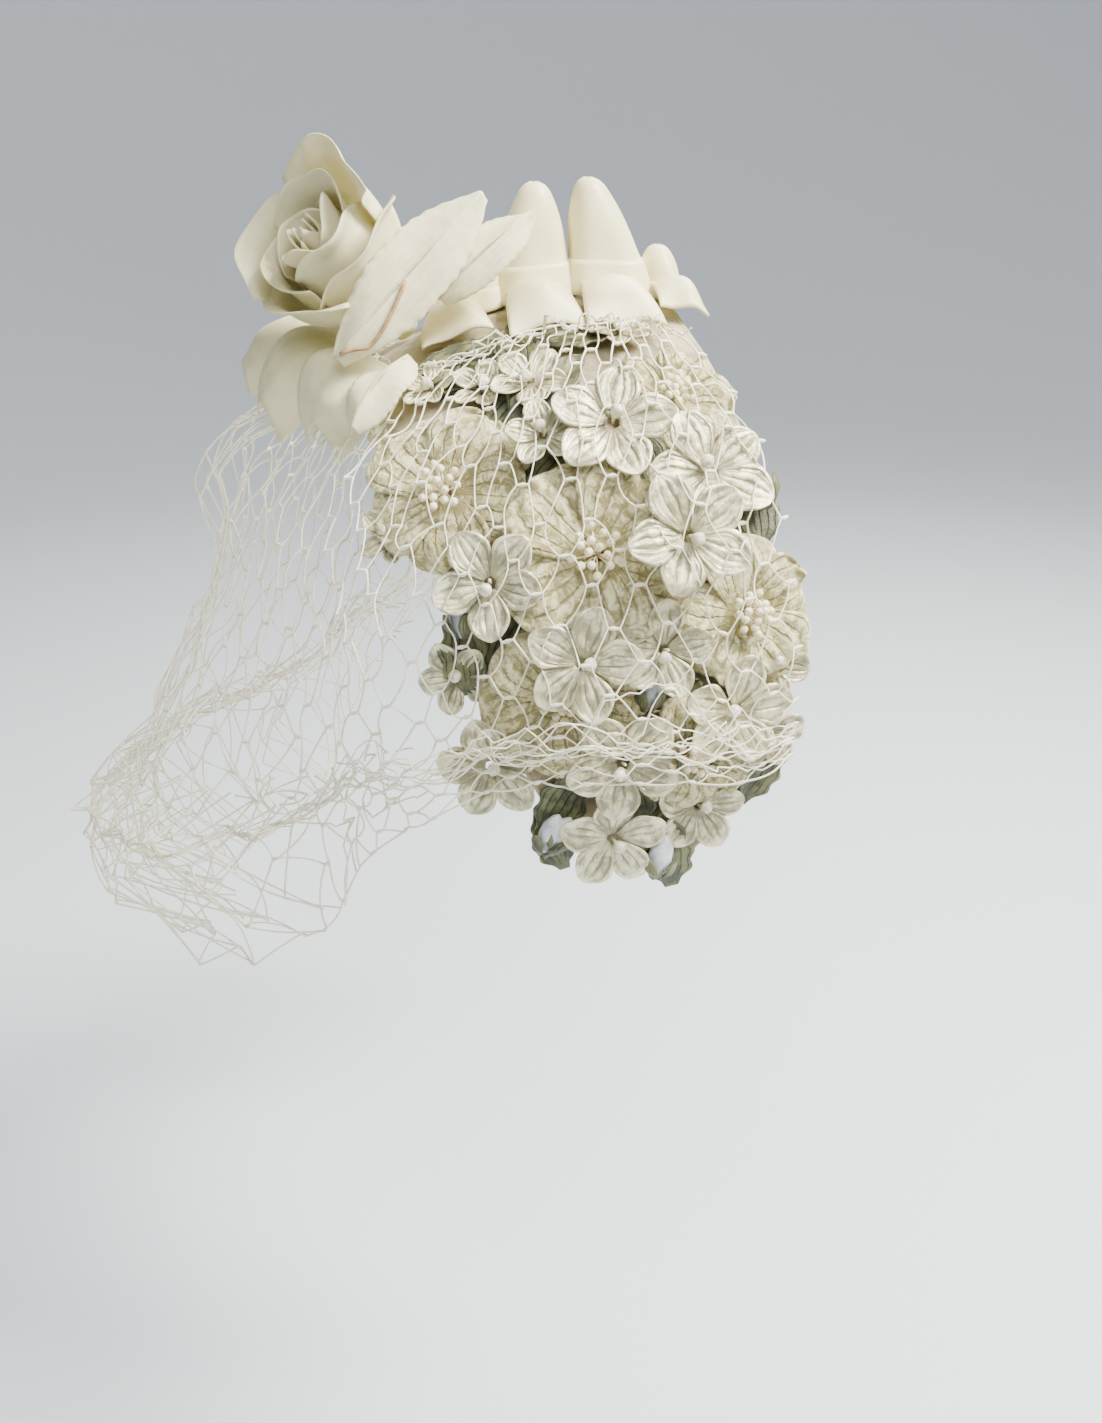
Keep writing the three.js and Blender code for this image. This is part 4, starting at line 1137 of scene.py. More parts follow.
LEFT_SPOTS = (
    Spot("leaf_1", Kind.LEAF, 57, 34, 20, 0.75),
    Spot("leaf_2", Kind.LEAF, 74, 41, 115, 0.8),
    Spot("leaf_3", Kind.LEAF, 61, 79, 100, 0.85),
    Spot("leaf_4", Kind.LEAF, 113, 58, 80, 0.8),
    Spot("leaf_5", Kind.LEAF, 95, 114, 100, 0.9),
    Spot("bud_1", Kind.BUD, 61, 74, 100, 0.9),
    Spot("bud_2", Kind.BUD, 112, 55, 100, 1.1),
    Spot("bud_3", Kind.BUD, 75, 109, 70, 1),
    Spot("bud_4", Kind.BUD, 93, 112.5, 80, 1),
    Spot("velvet_flower_6", Kind.VELVET, 98, 96, 20, 0.72),
    Spot("velvet_flower_5", Kind.VELVET, 102, 38, 50, 0.72),
    Spot("velvet_flower_4", Kind.VELVET, 77, 86, 130, 0.9),
    Spot("velvet_flower_3", Kind.VELVET, 107, 74, 20, 0.84),
    Spot("velvet_flower_1", Kind.VELVET, 53.5, 56, 75, 0.98),
    Spot("satin_flower_10", Kind.SATIN, 65, 36, 70, 0.72),
    Spot("satin_flower_11", Kind.SATIN, 71.5, 46.5, 40, 0.65),
    Spot("velvet_flower_2", Kind.VELVET, 82, 64, 62, 1.02),
    Spot("satin_flower_12", Kind.SATIN, 85, 109, 20, 0.95),
    Spot("satin_flower_8", Kind.SATIN, 66, 97, 30, 0.95),
    Spot("satin_flower_9", Kind.SATIN, 86, 95, 50, 1),
    Spot("satin_flower_7", Kind.SATIN, 104, 89, 80, 1.02),
    Spot("satin_flower_6", Kind.SATIN, 92, 78, 10, 0.82),
    Spot("satin_flower_4", Kind.SATIN, 66, 69, 60, 0.95),
    Spot("satin_flower_5", Kind.SATIN, 80, 79.5, 290, 0.95),
    Spot("satin_flower_1", Kind.SATIN, 85, 45.5, 82, 1.02),
    Spot("satin_flower_2", Kind.SATIN, 101, 54, 40, 1.05),
    Spot("satin_flower_3", Kind.SATIN, 95, 63, 330, 0.95),
    Spot("side_satin_1", Kind.SATIN, 100, 106.3, 15, 0.9, 2.5),
    Spot("side_satin_2", Kind.SATIN, 111.4, 82.6, 60, 0.75, 3.0),
    Spot("side_satin_3", Kind.SATIN, 45.5, 64, 15, 0.62, 1.4),
    Spot("side_satin_4", Kind.SATIN, 60, 84, 50, 0.7, 2.0),
    Spot("side_bud_1", Kind.BUD, 90.4, 84.5, 80, 0.85, 4.0),
    Spot("side_bud_2", Kind.BUD, 76.6, 108.7, 60, 0.85, 3.0),
    Spot("side_leaf_1", Kind.LEAF, 73.3, 50, 60, 0.8, 1.5),
    Spot("side_leaf_2", Kind.LEAF, 95.2, 50.4, 100, 0.7, 2.0),
    Spot("side_leaf_3", Kind.LEAF, 93.2, 88.6, 40, 0.8, 2.5),
    Spot("side_leaf_4", Kind.LEAF, 74.8, 111.7, 110, 0.7, 1.5),
    Spot("side_leaf_5", Kind.LEAF, 68, 78, 70, 0.8, 1.5),
    Spot("side_leaf_6", Kind.LEAF, 44, 37, 10, 0.8, 2.6),
    Spot("side_leaf_7", Kind.LEAF, 52, 35, 150, 0.75, 2.8),
    Spot("side_leaf_8", Kind.LEAF, 62, 40, 60, 0.8, 2.2),
    Spot("side_satin_5", Kind.SATIN, 53, 38, 25, 0.6, 3.4),
    Spot("side_leaf_12", Kind.LEAF, 38, 35, 80, 0.8, 2.8),
    Spot("side_leaf_13", Kind.LEAF, 46, 31, 30, 0.8, 2.8),
    Spot("side_satin_6", Kind.SATIN, 40, 40, 40, 0.55, 3.2),
    Spot("side_satin_7", Kind.SATIN, 111, 94, 10, 0.75, 3.0),
    Spot("side_leaf_15", Kind.LEAF, 69, 37, 60, 1.0, 3.4),
    Spot("side_leaf_16", Kind.LEAF, 56, 29, 120, 0.8, 3.2),
    Spot("side_leaf_17", Kind.LEAF, 92.5, 51.5, 100, 1.0, 3.2),
    Spot("side_leaf_18", Kind.LEAF, 74.8, 24, 20, 0.8, 3.0),
    Spot("side_satin_8", Kind.SATIN, 92, 22.5, 40, 0.6, 3.2),
    Spot("side_leaf_14", Kind.LEAF, 111, 101, 60, 0.75, 2.4),
    Spot("side_leaf_9", Kind.LEAF, 77, 104, 60, 0.85, 2.4),
    Spot("side_leaf_10", Kind.LEAF, 88, 103, 110, 0.8, 2.4),
    Spot("side_leaf_11", Kind.LEAF, 98, 101, 80, 0.8, 2.4),
)
RIGHT_SPOTS = (
    Spot("right_velvet_flower_1", Kind.VELVET, 55, 56, 75, 0.98),
    Spot("right_velvet_flower_2", Kind.VELVET, 103, 52, 30, 0.9),
    Spot("right_velvet_flower_3", Kind.VELVET, 74, 88, 100, 0.95),
    Spot("right_velvet_flower_4", Kind.VELVET, 101, 85, 50, 0.9),
    Spot("right_velvet_flower_5", Kind.VELVET, 81, 66, 62, 1.03),
    Spot("right_satin_flower_1", Kind.SATIN, 72, 42, 82, 1.02),
    Spot("right_satin_flower_2", Kind.SATIN, 88, 102, 20, 1),
    Spot("right_satin_flower_3", Kind.SATIN, 64, 72, 50, 1),
)


# Rose

ROSE_HEIGHT = 32.0


@dataclass(frozen=True)
class RosePetal:
    """One petal of the bloom, round the rose's axis.

    Attributes:
        name: Its CAD node.
        azimuth: Where its middle is, in degrees.
        spread: Half of the arc that it covers, in degrees.
        foot: Radius at its foot, as a share of the rose's.
        belly: Radius where it swells most.
        lip: Radius at its lip.
        rise: Its height, as a share of the rose's.
        curl: How far its lip rolls out, as a share of the rose's radius.
    """

    name: str
    azimuth: float
    spread: float
    foot: float
    belly: float
    lip: float
    rise: float
    curl: float


@dataclass(frozen=True)
class Blade:
    """A petal or leaf that runs over the seat from a root to a tip.

    Attributes:
        name: Its CAD node.
        root: Turn, drop and height of its root, the height as a share of the rose's.
        tip: Turn, drop and height of its tip.
        width: Its greatest width.
        roll: Degrees that it is rolled about its run.
        wired: Whether its bare wire shows beside its rib.
    """

    name: str
    root: tuple[float, float, float]
    tip: tuple[float, float, float]
    width: float
    roll: float
    wired: bool = False

    @property
    def length(self) -> float:
        """The straight distance from its root to its tip."""
        return float(np.linalg.norm(self.axes()[1]))

    def axes(self) -> tuple[Array, Array, Array, Array]:
        """Find the blade's own directions.

        Returns:
            Its root, the run to its tip, the direction across it and the direction out of it.
        """
        start = SEAT.over(SEAT.way(self.root[0], self.root[1]), ROSE_HEIGHT * self.root[2])
        end = SEAT.over(SEAT.way(self.tip[0], self.tip[1]), ROSE_HEIGHT * self.tip[2])
        run = end - start
        out = unit((start + end) / 2 - SEAT.centre)
        flat = unit(np.cross(run, out))
        edge = np.cross(unit(run), flat)
        roll = math.radians(self.roll)
        across = flat * math.cos(roll) + edge * math.sin(roll)
        return start, run, across, unit(np.cross(across, run))


class SilkRose:
    """The rose at the front, with its lower petals and leaves."""

    RADIUS = 18.0
    FOOT_HEIGHT = 12.5
    BELLY_AT = 0.42
    SPIRAL = 1.71
    FULL_SPREAD_AT = 0.5
    FOOT_SPREAD = 0.5
    ROUNDING = 0.2
    SEAT_DROP = 31.5
    LEAN = (0.44, -0.62, 0.65)
    STEM = ((0, 3.5), (0.16, 3.6), (0.5, 4.8), (0.88, 5.0), (1.0, 1.25))
    HEART_CUT = (26, 42)
    HEART_TURNS = 2.1
    LOWER_AT = (0, 0.25, 0.5, 0.75, 0.93, 1)
    LOWER_WIDTH = (0.5, 0.84, 1, 0.9, 0.62, 0.4)
    LEAF_AT = (0, 0.2, 0.4, 0.6, 0.8, 1)
    LEAF_WIDTH = (0.2, 0.72, 0.97, 0.97, 0.72, 0.16)
    LEAF_TEETH = 13
    RIB_REACH = np.linspace(0.02, 0.9, 14)
    WIRE_REACH = np.linspace(0.02, 0.45, 14)
    HELD_BY = ("rose_heart_silk",)
    PETALS = (
        RosePetal("rose_inner_petal_1", 20, 74, 0.19, 0.43, 0.41, 0.86, 0.03),
        RosePetal("rose_inner_petal_2", 140, 74, 0.19, 0.43, 0.41, 0.9, 0.03),
        RosePetal("rose_inner_petal_3", 260, 74, 0.19, 0.43, 0.41, 0.84, 0.03),
        RosePetal("rose_middle_petal_1", 75, 72, 0.32, 0.64, 0.61, 0.88, 0.07),
        RosePetal("rose_middle_petal_2", 195, 72, 0.32, 0.64, 0.61, 1.0, 0.07),
        RosePetal("rose_middle_petal_3", 315, 72, 0.32, 0.64, 0.61, 0.82, 0.07),
        RosePetal("rose_outer_petal_1", 0, 56, 0.45, 0.89, 0.97, 0.7, 0.13),
        RosePetal("rose_outer_petal_2", 90, 56, 0.46, 0.9, 0.98, 0.76, 0.13),
        RosePetal("rose_outer_petal_3", 180, 56, 0.45, 0.89, 0.97, 1.1, 0.13),
        RosePetal("rose_outer_petal_4", 270, 56, 0.45, 0.89, 0.97, 0.9, 0.13),
    )
    LOWER = (
        Blade("rose_lower_petal_1", (-10, 40, 0.22), (-8, 53, 0.71), 22, -35),
        Blade("rose_lower_petal_2", (9, 39, 0.27), (13, 54, 0.5), 22, -40),
        Blade("rose_lower_petal_3", (22.6, 40, 0.265), (25.6, 53, 0.325), 22, -35),
    )
    LEAVES = (
        Blade("rose_leaf_1", (30, 45, 0.6), (38, 19, 1), 17.25, 50, wired=True),
        Blade("rose_leaf_2", (36, 30, 0.5), (50, 15, 0.8), 12, 40),
        Blade("rose_leaf_3", (34, 38, 0.29), (37, 52, 0.41), 13.5, -15),
    )

    def __init__(self) -> None:
        """Find the rose's place and axis."""
        self.foot = SEAT.over(SEAT.way(0, self.SEAT_DROP), BAND_WALL + CLEARANCE)
        self.axis = unit(np.array(self.LEAN))
        self.low = unit(np.array((0, 0, -1.0)) + self.axis * self.axis[2])
        self.side = np.cross(self.axis, self.low)
        self.rng = np.random.default_rng(11)

    def at(self, azimuth: Array, radius: Array, height: Array) -> Array:
        """Find points round the rose's axis.

        Args:
            azimuth: Angles round it, in radians, from its lowest side.
            radius: Distances from it.
            height: Heights over the rose's foot.

        Returns:
            Points in millimetres.
        """
        azimuth, radius, height = (np.asarray(x, float)[..., None] for x in (azimuth, radius, height))
        out = self.low * np.cos(azimuth) + self.side * np.sin(azimuth)
        return self.foot + self.axis * height + radius * out

    def _petal(self, petal: RosePetal) -> Mesh:
        """Build one petal of the bloom.

        Args:
            petal: The petal.

        Returns:
            Its mesh.
        """
        mesh = Mesh()
        u, v = grid(30, 26)
        side = 2 * u - 1
        phase = self.rng.uniform(0, 2 * math.pi, 3)
        height = petal.rise * v * (1 - self.ROUNDING * v * side**2)
        height += 0.02 * np.sin(6 * side + phase[0]) * ease(v, 0.6, 1)
        opened = np.minimum(height / self.FULL_SPREAD_AT, 1)
        spread = petal.spread * (self.FOOT_SPREAD + (1 - self.FOOT_SPREAD) * opened)
        azimuth = np.radians(petal.azimuth + spread * side)
        widths = (petal.foot, petal.belly, petal.lip)
        radius = self.RADIUS * smooth_rows(height, (0, self.BELLY_AT, 1), widths)
        radius += self.SPIRAL * side * opened
        wave = np.sin(3.2 * side + phase[1]) + 0.5 * np.sin(7 * side + phase[2])
        radius += self.RADIUS * 0.022 * wave * ease(v, 0.45, 1)
        roll = ease(v, 0.8, 1)
        radius += self.RADIUS * petal.curl * roll * (1 + 0.4 * wave)
        tall = self.FOOT_HEIGHT + 1 + ROSE_HEIGHT * height - ROSE_HEIGHT * 0.3 * petal.curl * roll**2
        mesh.sheet(self.at(azimuth, radius, tall), 0.3, self.rng.normal(0, 0.4))
        return mesh

    def _heart(self) -> Mesh:
        """Build the foot and the tightly wound heart.

        Returns:
            Their mesh.
        """
        mesh = Mesh()
        foot, top = self.at(np.zeros(2), np.zeros(2), np.array((2.2, self.FOOT_HEIGHT)))
        mesh.drop(foot, top, self.STEM, 16, 0, 1)
        u, v = grid(70, 16)
        turns = 2 * math.pi * self.HEART_TURNS * u
        radius = (1.0 + 4.4 * u) * (0.35 + 0.65 * ease(v, 0, 0.55)) * (1 - 0.25 * ease(v, 0.75, 1))
        height = self.FOOT_HEIGHT + 1 + ROSE_HEIGHT * v * (0.8 - 0.06 * np.cos(3 * turns))
        mesh.sheet(self.at(turns, radius, height), 0.5, 0.1)
        return mesh

    def _lower(self, blade: Blade) -> Mesh:
        """Build one petal that hangs from the rose's foot.

        Args:
            blade: Where it runs.

        Returns:
            Its mesh.
        """
        mesh = Mesh()
        start, run, across, out = blade.axes()
        u, v = grid(26, 24)
        side = 2 * u - 1
        phase = self.rng.uniform(0, 2 * math.pi, 2)
        width = blade.width * smooth_rows(v, self.LOWER_AT, self.LOWER_WIDTH)
        bow = 5 * np.sin(np.pi * v) - 3 * v * side**2 + 1.2 * (1 - np.abs(side)) * ease(v, 0, 0.5)
        bow -= 3.5 * ease(np.abs(side), 0.5, 1) * ease(v, 0.3, 0.9) + 3 * ease(v, 0.8, 1)
        wave = 0.8 * np.sin(3.4 * side + phase[0]) * ease(v, 0.3, 1)
        bow += wave + 1.2 * ease(v, 0.85, 1) * np.cos(2 * side + phase[1])
        points = start + v[..., None] * run + (side * width / 2)[..., None] * across + bow[..., None] * out
        mesh.sheet(points, 0.5, self.rng.normal(0, 0.4))
        return mesh

    def _leaf(self, blade: Blade) -> Mesh:
        """Build a wired leaf with a serrated edge.

        Args:
            blade: Where it runs.

        Returns:
            Its mesh.
        """
        mesh = Mesh()
        start, run, across, out = blade.axes()
        u, v = grid(16, 60)
        side = 2 * u - 1
        teeth = 1 + 0.07 * (2 * np.abs((v * self.LEAF_TEETH) % 1 - 0.5) - 0.5) * np.abs(side) ** 4
        width = blade.width * smooth_rows(v, self.LEAF_AT, self.LEAF_WIDTH) * teeth
        bow = 3 * np.sin(np.pi * v) - 2 * np.abs(side) + 0.5 * np.sin(9 * v + 3 * side)
        points = start + v[..., None] * run + (side * width / 2)[..., None] * across + bow[..., None] * out
        mesh.sheet(points, 0.45, self.rng.normal(0, 0.3))
        rib = start + np.outer(self.RIB_REACH, run)
        rib += np.outer(3 * np.sin(np.pi * self.RIB_REACH) + 0.45, out)
        mesh.tube(rib, np.linspace(0.45, 0.2, len(rib)))
        if blade.wired:
            down = self.WIRE_REACH
            edge = np.interp(down, (0, 0.2, 0.5), (2, 5.5, 8))
            off = np.interp(down, (0.02, 0.12, 0.45), (0, 0.9, 0.1)) * edge
            wire = start + np.outer(down, run) + np.outer(off, across)
            wire += np.outer(3 * np.sin(np.pi * down) - 2 * np.minimum(off / 8, 1) + 0.8, out)
            mesh.tube(wire, 0.45, 6, 0, 1)
        return mesh

    def build(self) -> list[bpy.types.Object]:
        """Build the rose.

        Returns:
            The pieces.
        """
        heart = settle(self._heart().build("rose_heart_silk", (SILK, SILK)), "silk", "rose_heart")
        cut(heart, *self.HEART_CUT, "gathered", ("base_band",))
        pieces = [heart]
        for petal in self.PETALS:
            piece = settle(self._petal(petal).build(petal.name + "_silk", (SILK,)), "silk", petal.name)
            width = 2 * math.radians(petal.spread) * petal.belly * self.RADIUS
            cut(piece, width, petal.rise * ROSE_HEIGHT * 1.05, "gathered", self.HELD_BY, 0.75)
            pieces.append(piece)
        for blade in self.LOWER:
            piece = settle(self._lower(blade).build(blade.name + "_silk", (SILK,)), "silk", blade.name)
            cut(piece, blade.width, 1.25 * blade.length, "gathered", self.HELD_BY)
            pieces.append(piece)
        for blade in self.LEAVES:
            piece = self._leaf(blade).build(blade.name + "_silk", (LEAF_VELVET, WIRE))
            settle(piece, "silk", blade.name)
            cut(piece, blade.width, 1.05 * blade.length, "gathered", self.HELD_BY, 0.8)
            pieces.append(piece)
        return pieces


# Ribbon


@dataclass(frozen=True)
class Loop:
    """One ribbon loop with its flaps.

    Attributes:
        name: Its CAD node.
        middle: Its place along Y, as a share of the full width.
        lean: How far its peak leans aft, as a share of the full width.
        height: Share of the full height.
        width: Share of the full width.
        cut: Width and length of the ribbon that it is folded from.
        fore: How far its base spreads towards the brow, as a share of its half width.
        aft: How far its base spreads the other way.
        flap: Share of the full flap.
        slip: How far its flaps lie towards the brow, in millimetres.
    """

    name: str
    middle: float
    lean: float
    height: float
    width: float
    cut: tuple[float, float]
    fore: float = 1.0
    aft: float = 1.0
    flap: float = 1.08
    slip: float = 0.0


class RibbonRow:
    """Ribbon loops that stand along the crown."""

    WIDTH = 16.2
    HEIGHT = 26.0
    DEPTH = 15.0
    WALL = 0.6
    HOOD_START = -75
    HOOD_SWEEP = 330
    HOOD_MARKS = (0, 0.04, 0.12, 0.4, 0.75, 1)
    HOOD_RING = (0.12, 0.28, 0.45, 0.76, 0.97, 1.14)
    CUFF_ROW = 16
    CUFF_COLUMNS = slice(4, 40)
    FLAP_REACH = 24.0
    FLAP_ROOT = 4.5
    FLAP_ROOT_WIDTH = 0.7
    FLAP_RISE = 3.0
    FLAP_PUFF = 4.0
    LOOPS = (
        Loop("ribbon_loop_1", -1.79, 0.12, 0.62, 0.76, (30, 64), flap=1.5, slip=6.5),
        Loop("ribbon_loop_2", -0.895, 0, 1, 1, (38, 70), fore=1.25),
        Loop("ribbon_loop_3", 0.155, -0.25, 1, 1, (38, 72), aft=1.4),
        Loop("ribbon_knot", 1.03, -0.06, 0.45, 0.66, (25, 50)),
    )

    @staticmethod
    def above(x: Array, y: Array, height: Array | float) -> Array:
        """Find points over the crown, straight above places on it.

        Args:
            x: Places across.
            y: Places along.
            height: Heights over the band.

        Returns:
            Points in millimetres.
        """
        ways = np.stack(np.broadcast_arrays(x, y, SEAT.crown), -1)
        return SEAT.over(ways, BAND_WALL + CLEARANCE + height)

    def _hood(self, mesh: Mesh, loop: Loop, rng: np.random.Generator) -> None:
        """Add a standing hood, folded once at its peak, with its mouth on the far side and a cuff round it.

        Args:
            mesh: The mesh to add to.
            loop: The loop.
            rng: Random source of this loop.
        """
        middle = self.WIDTH * loop.middle
        peak = self.above(0.0, middle, 0.0)[2] + self.HEIGHT * loop.height
        u, v = grid(44, 22)
        fall = v
        theta = math.radians(self.HOOD_START) + math.radians(self.HOOD_SWEEP) * u
        ring = smooth_rows(fall, self.HOOD_MARKS, self.HOOD_RING)
        fold = 0.06 * np.sin(4 * theta + rng.uniform(0, 6)) * ease(fall, 0.15, 0.8)
        wider = (loop.aft - 1) * (np.cos(theta) > 0) + (loop.fore - 1) * (np.cos(theta) < 0)
        spread = 1 + wider * ease(fall, 0, 1)
        half = self.WIDTH * loop.width / 2 * spread
        x = self.DEPTH / 2 * (ring + fold) * np.sin(theta)
        y = middle + self.WIDTH * loop.lean * (1 - fall) + half * (ring + fold) * np.cos(theta)
        base = self.above(x, y, 0.0)[..., 2]
        points = np.stack((x, y, peak + (base - peak) * fall**1.15), -1)
        mesh.sheet(points, self.WALL, rng.normal(0, 0.4))
        centre = np.array((0.0, middle, 0.0))
        cuff = points[self.CUFF_ROW :, self.CUFF_COLUMNS] - centre
        swell = 1.05 + 0.07 * np.linspace(0, 1, len(cuff))[:, None, None]
        mesh.sheet(cuff * np.concatenate((swell, swell, np.ones_like(swell)), -1) + centre, self.WALL)

    def _flap(self, mesh: Mesh, loop: Loop, side: int, rng: np.random.Generator) -> None:
        """Add a flap that lies down over the net.

        Args:
            mesh: The mesh to add to.
            loop: The loop.
            side: 1 for the wearer's left, -1 for the right.
            rng: Random source of this loop.
        """
        u, v = grid(20, 18)
        reach = self.FLAP_REACH * max(loop.height, self.FLAP_ROOT_WIDTH) * (0.6 + 0.4 * loop.flap)
        across = 2 * u - 1
        x = side * (self.FLAP_ROOT + reach * v)
        taper = self.FLAP_ROOT_WIDTH + (1 - self.FLAP_ROOT_WIDTH) * v
        width = self.WIDTH * loop.width * loop.flap * taper
        y = self.WIDTH * loop.middle + across * width / 2 - loop.slip
        x = x + side * 1.6 * np.abs(across) ** 3 * v
        puff = self.FLAP_RISE + self.FLAP_PUFF * np.sin(np.pi * v) * (1 - across**2) + v
        puff += 0.5 * np.sin(4 * across + rng.uniform(0, 6)) * ease(v, 0.2, 0.8)
        ways = np.stack(np.broadcast_arrays(x, y, SEAT.crown - np.abs(x) / 5), -1)
        mesh.sheet(SEAT.over(ways, BAND_WALL + puff), self.WALL, rng.normal(0, 0.4))

    def build(self) -> list[bpy.types.Object]:
        """Build the loops.

        Returns:
            The pieces.
        """
        pieces = []
        for number, loop in enumerate(self.LOOPS):
            rng = np.random.default_rng(40 + number)
            mesh = Mesh()
            self._hood(mesh, loop, rng)
            self._flap(mesh, loop, 1, rng)
            self._flap(mesh, loop, -1, rng)
            piece = settle(mesh.build(loop.name + "_satin", (RIBBON,)), "ribbon", loop.name)
            cut(piece, *loop.cut, "folded", ("base_band",))
            pieces.append(piece)
        return pieces


# Band


@dataclass(frozen=True)
class Section:
    """The band's outline at one place down its sides.

    Attributes:
        arch: Degrees down from the crown.
        fore: Degrees that it reaches towards the brow.
        aft: Degrees that it reaches the other way.
    """

    arch: float
    fore: float
    aft: float


class Band:
    """The stiffened band under everything, bound along its edge."""

    SECTIONS = (
        Section(0, 40, 11),
        Section(18, 38, 13),
        Section(44, 37, 19),
        Section(72, 28, 22),
        Section(96, 21, 23),
        Section(112, 11, 13),
        Section(118, 3, 6),
    )
    BINDING = 1.0

    def _way(self, arch: Array, tilt: Array) -> Array:
        """Turn angles along and across the band into directions.

        Args:
            arch: Degrees along the band from the crown, towards the wearer's left.
            tilt: Degrees across it, towards the brow.

        Returns:
            Directions from the seat's centre.
        """
        a, t = np.radians(arch), np.radians(tilt)
        return np.stack((np.sin(a) * np.cos(t), -np.sin(t), np.cos(a) * np.cos(t)), -1)

    def build(self) -> list[bpy.types.Object]:
        """Build the band.

        Returns:
            The pieces.
        """
        u, v = grid(40, 110)
        arch = self.SECTIONS[-1].arch * (2 * v - 1)
        marks = [section.arch for section in self.SECTIONS]
        front = smooth_rows(np.abs(arch), marks, [section.fore for section in self.SECTIONS])
        back = smooth_rows(np.abs(arch), marks, [section.aft for section in self.SECTIONS])
        tilt = front + (-back - front) * u
        ripple = 0.15 * np.sin(90 * v) * np.sin(30 * u)
        middle = SEAT.over(self._way(arch, tilt), BAND_WALL / 2 + ripple)
        mesh = Mesh()
        mesh.sheet(middle, BAND_WALL - 0.4)
        edge = np.concatenate((middle[0, :-1], middle[:-1, -1], middle[-1, :0:-1], middle[::-1, 0]))
        mesh.tube(edge, self.BINDING, 8, 0.4, 1)
        return [settle(mesh.build("band_cloth", (BAND, BAND)), "band", "base_band")]


# Veil


@dataclass(frozen=True)
class Station:
    """The net's cut at one place round from the brow.

    Attributes:
        turn: Degrees round from the brow.
        top: Drop of its upper edge.
        hem: Drop of its hem.
    """

    turn: float
    top: float
    hem: float


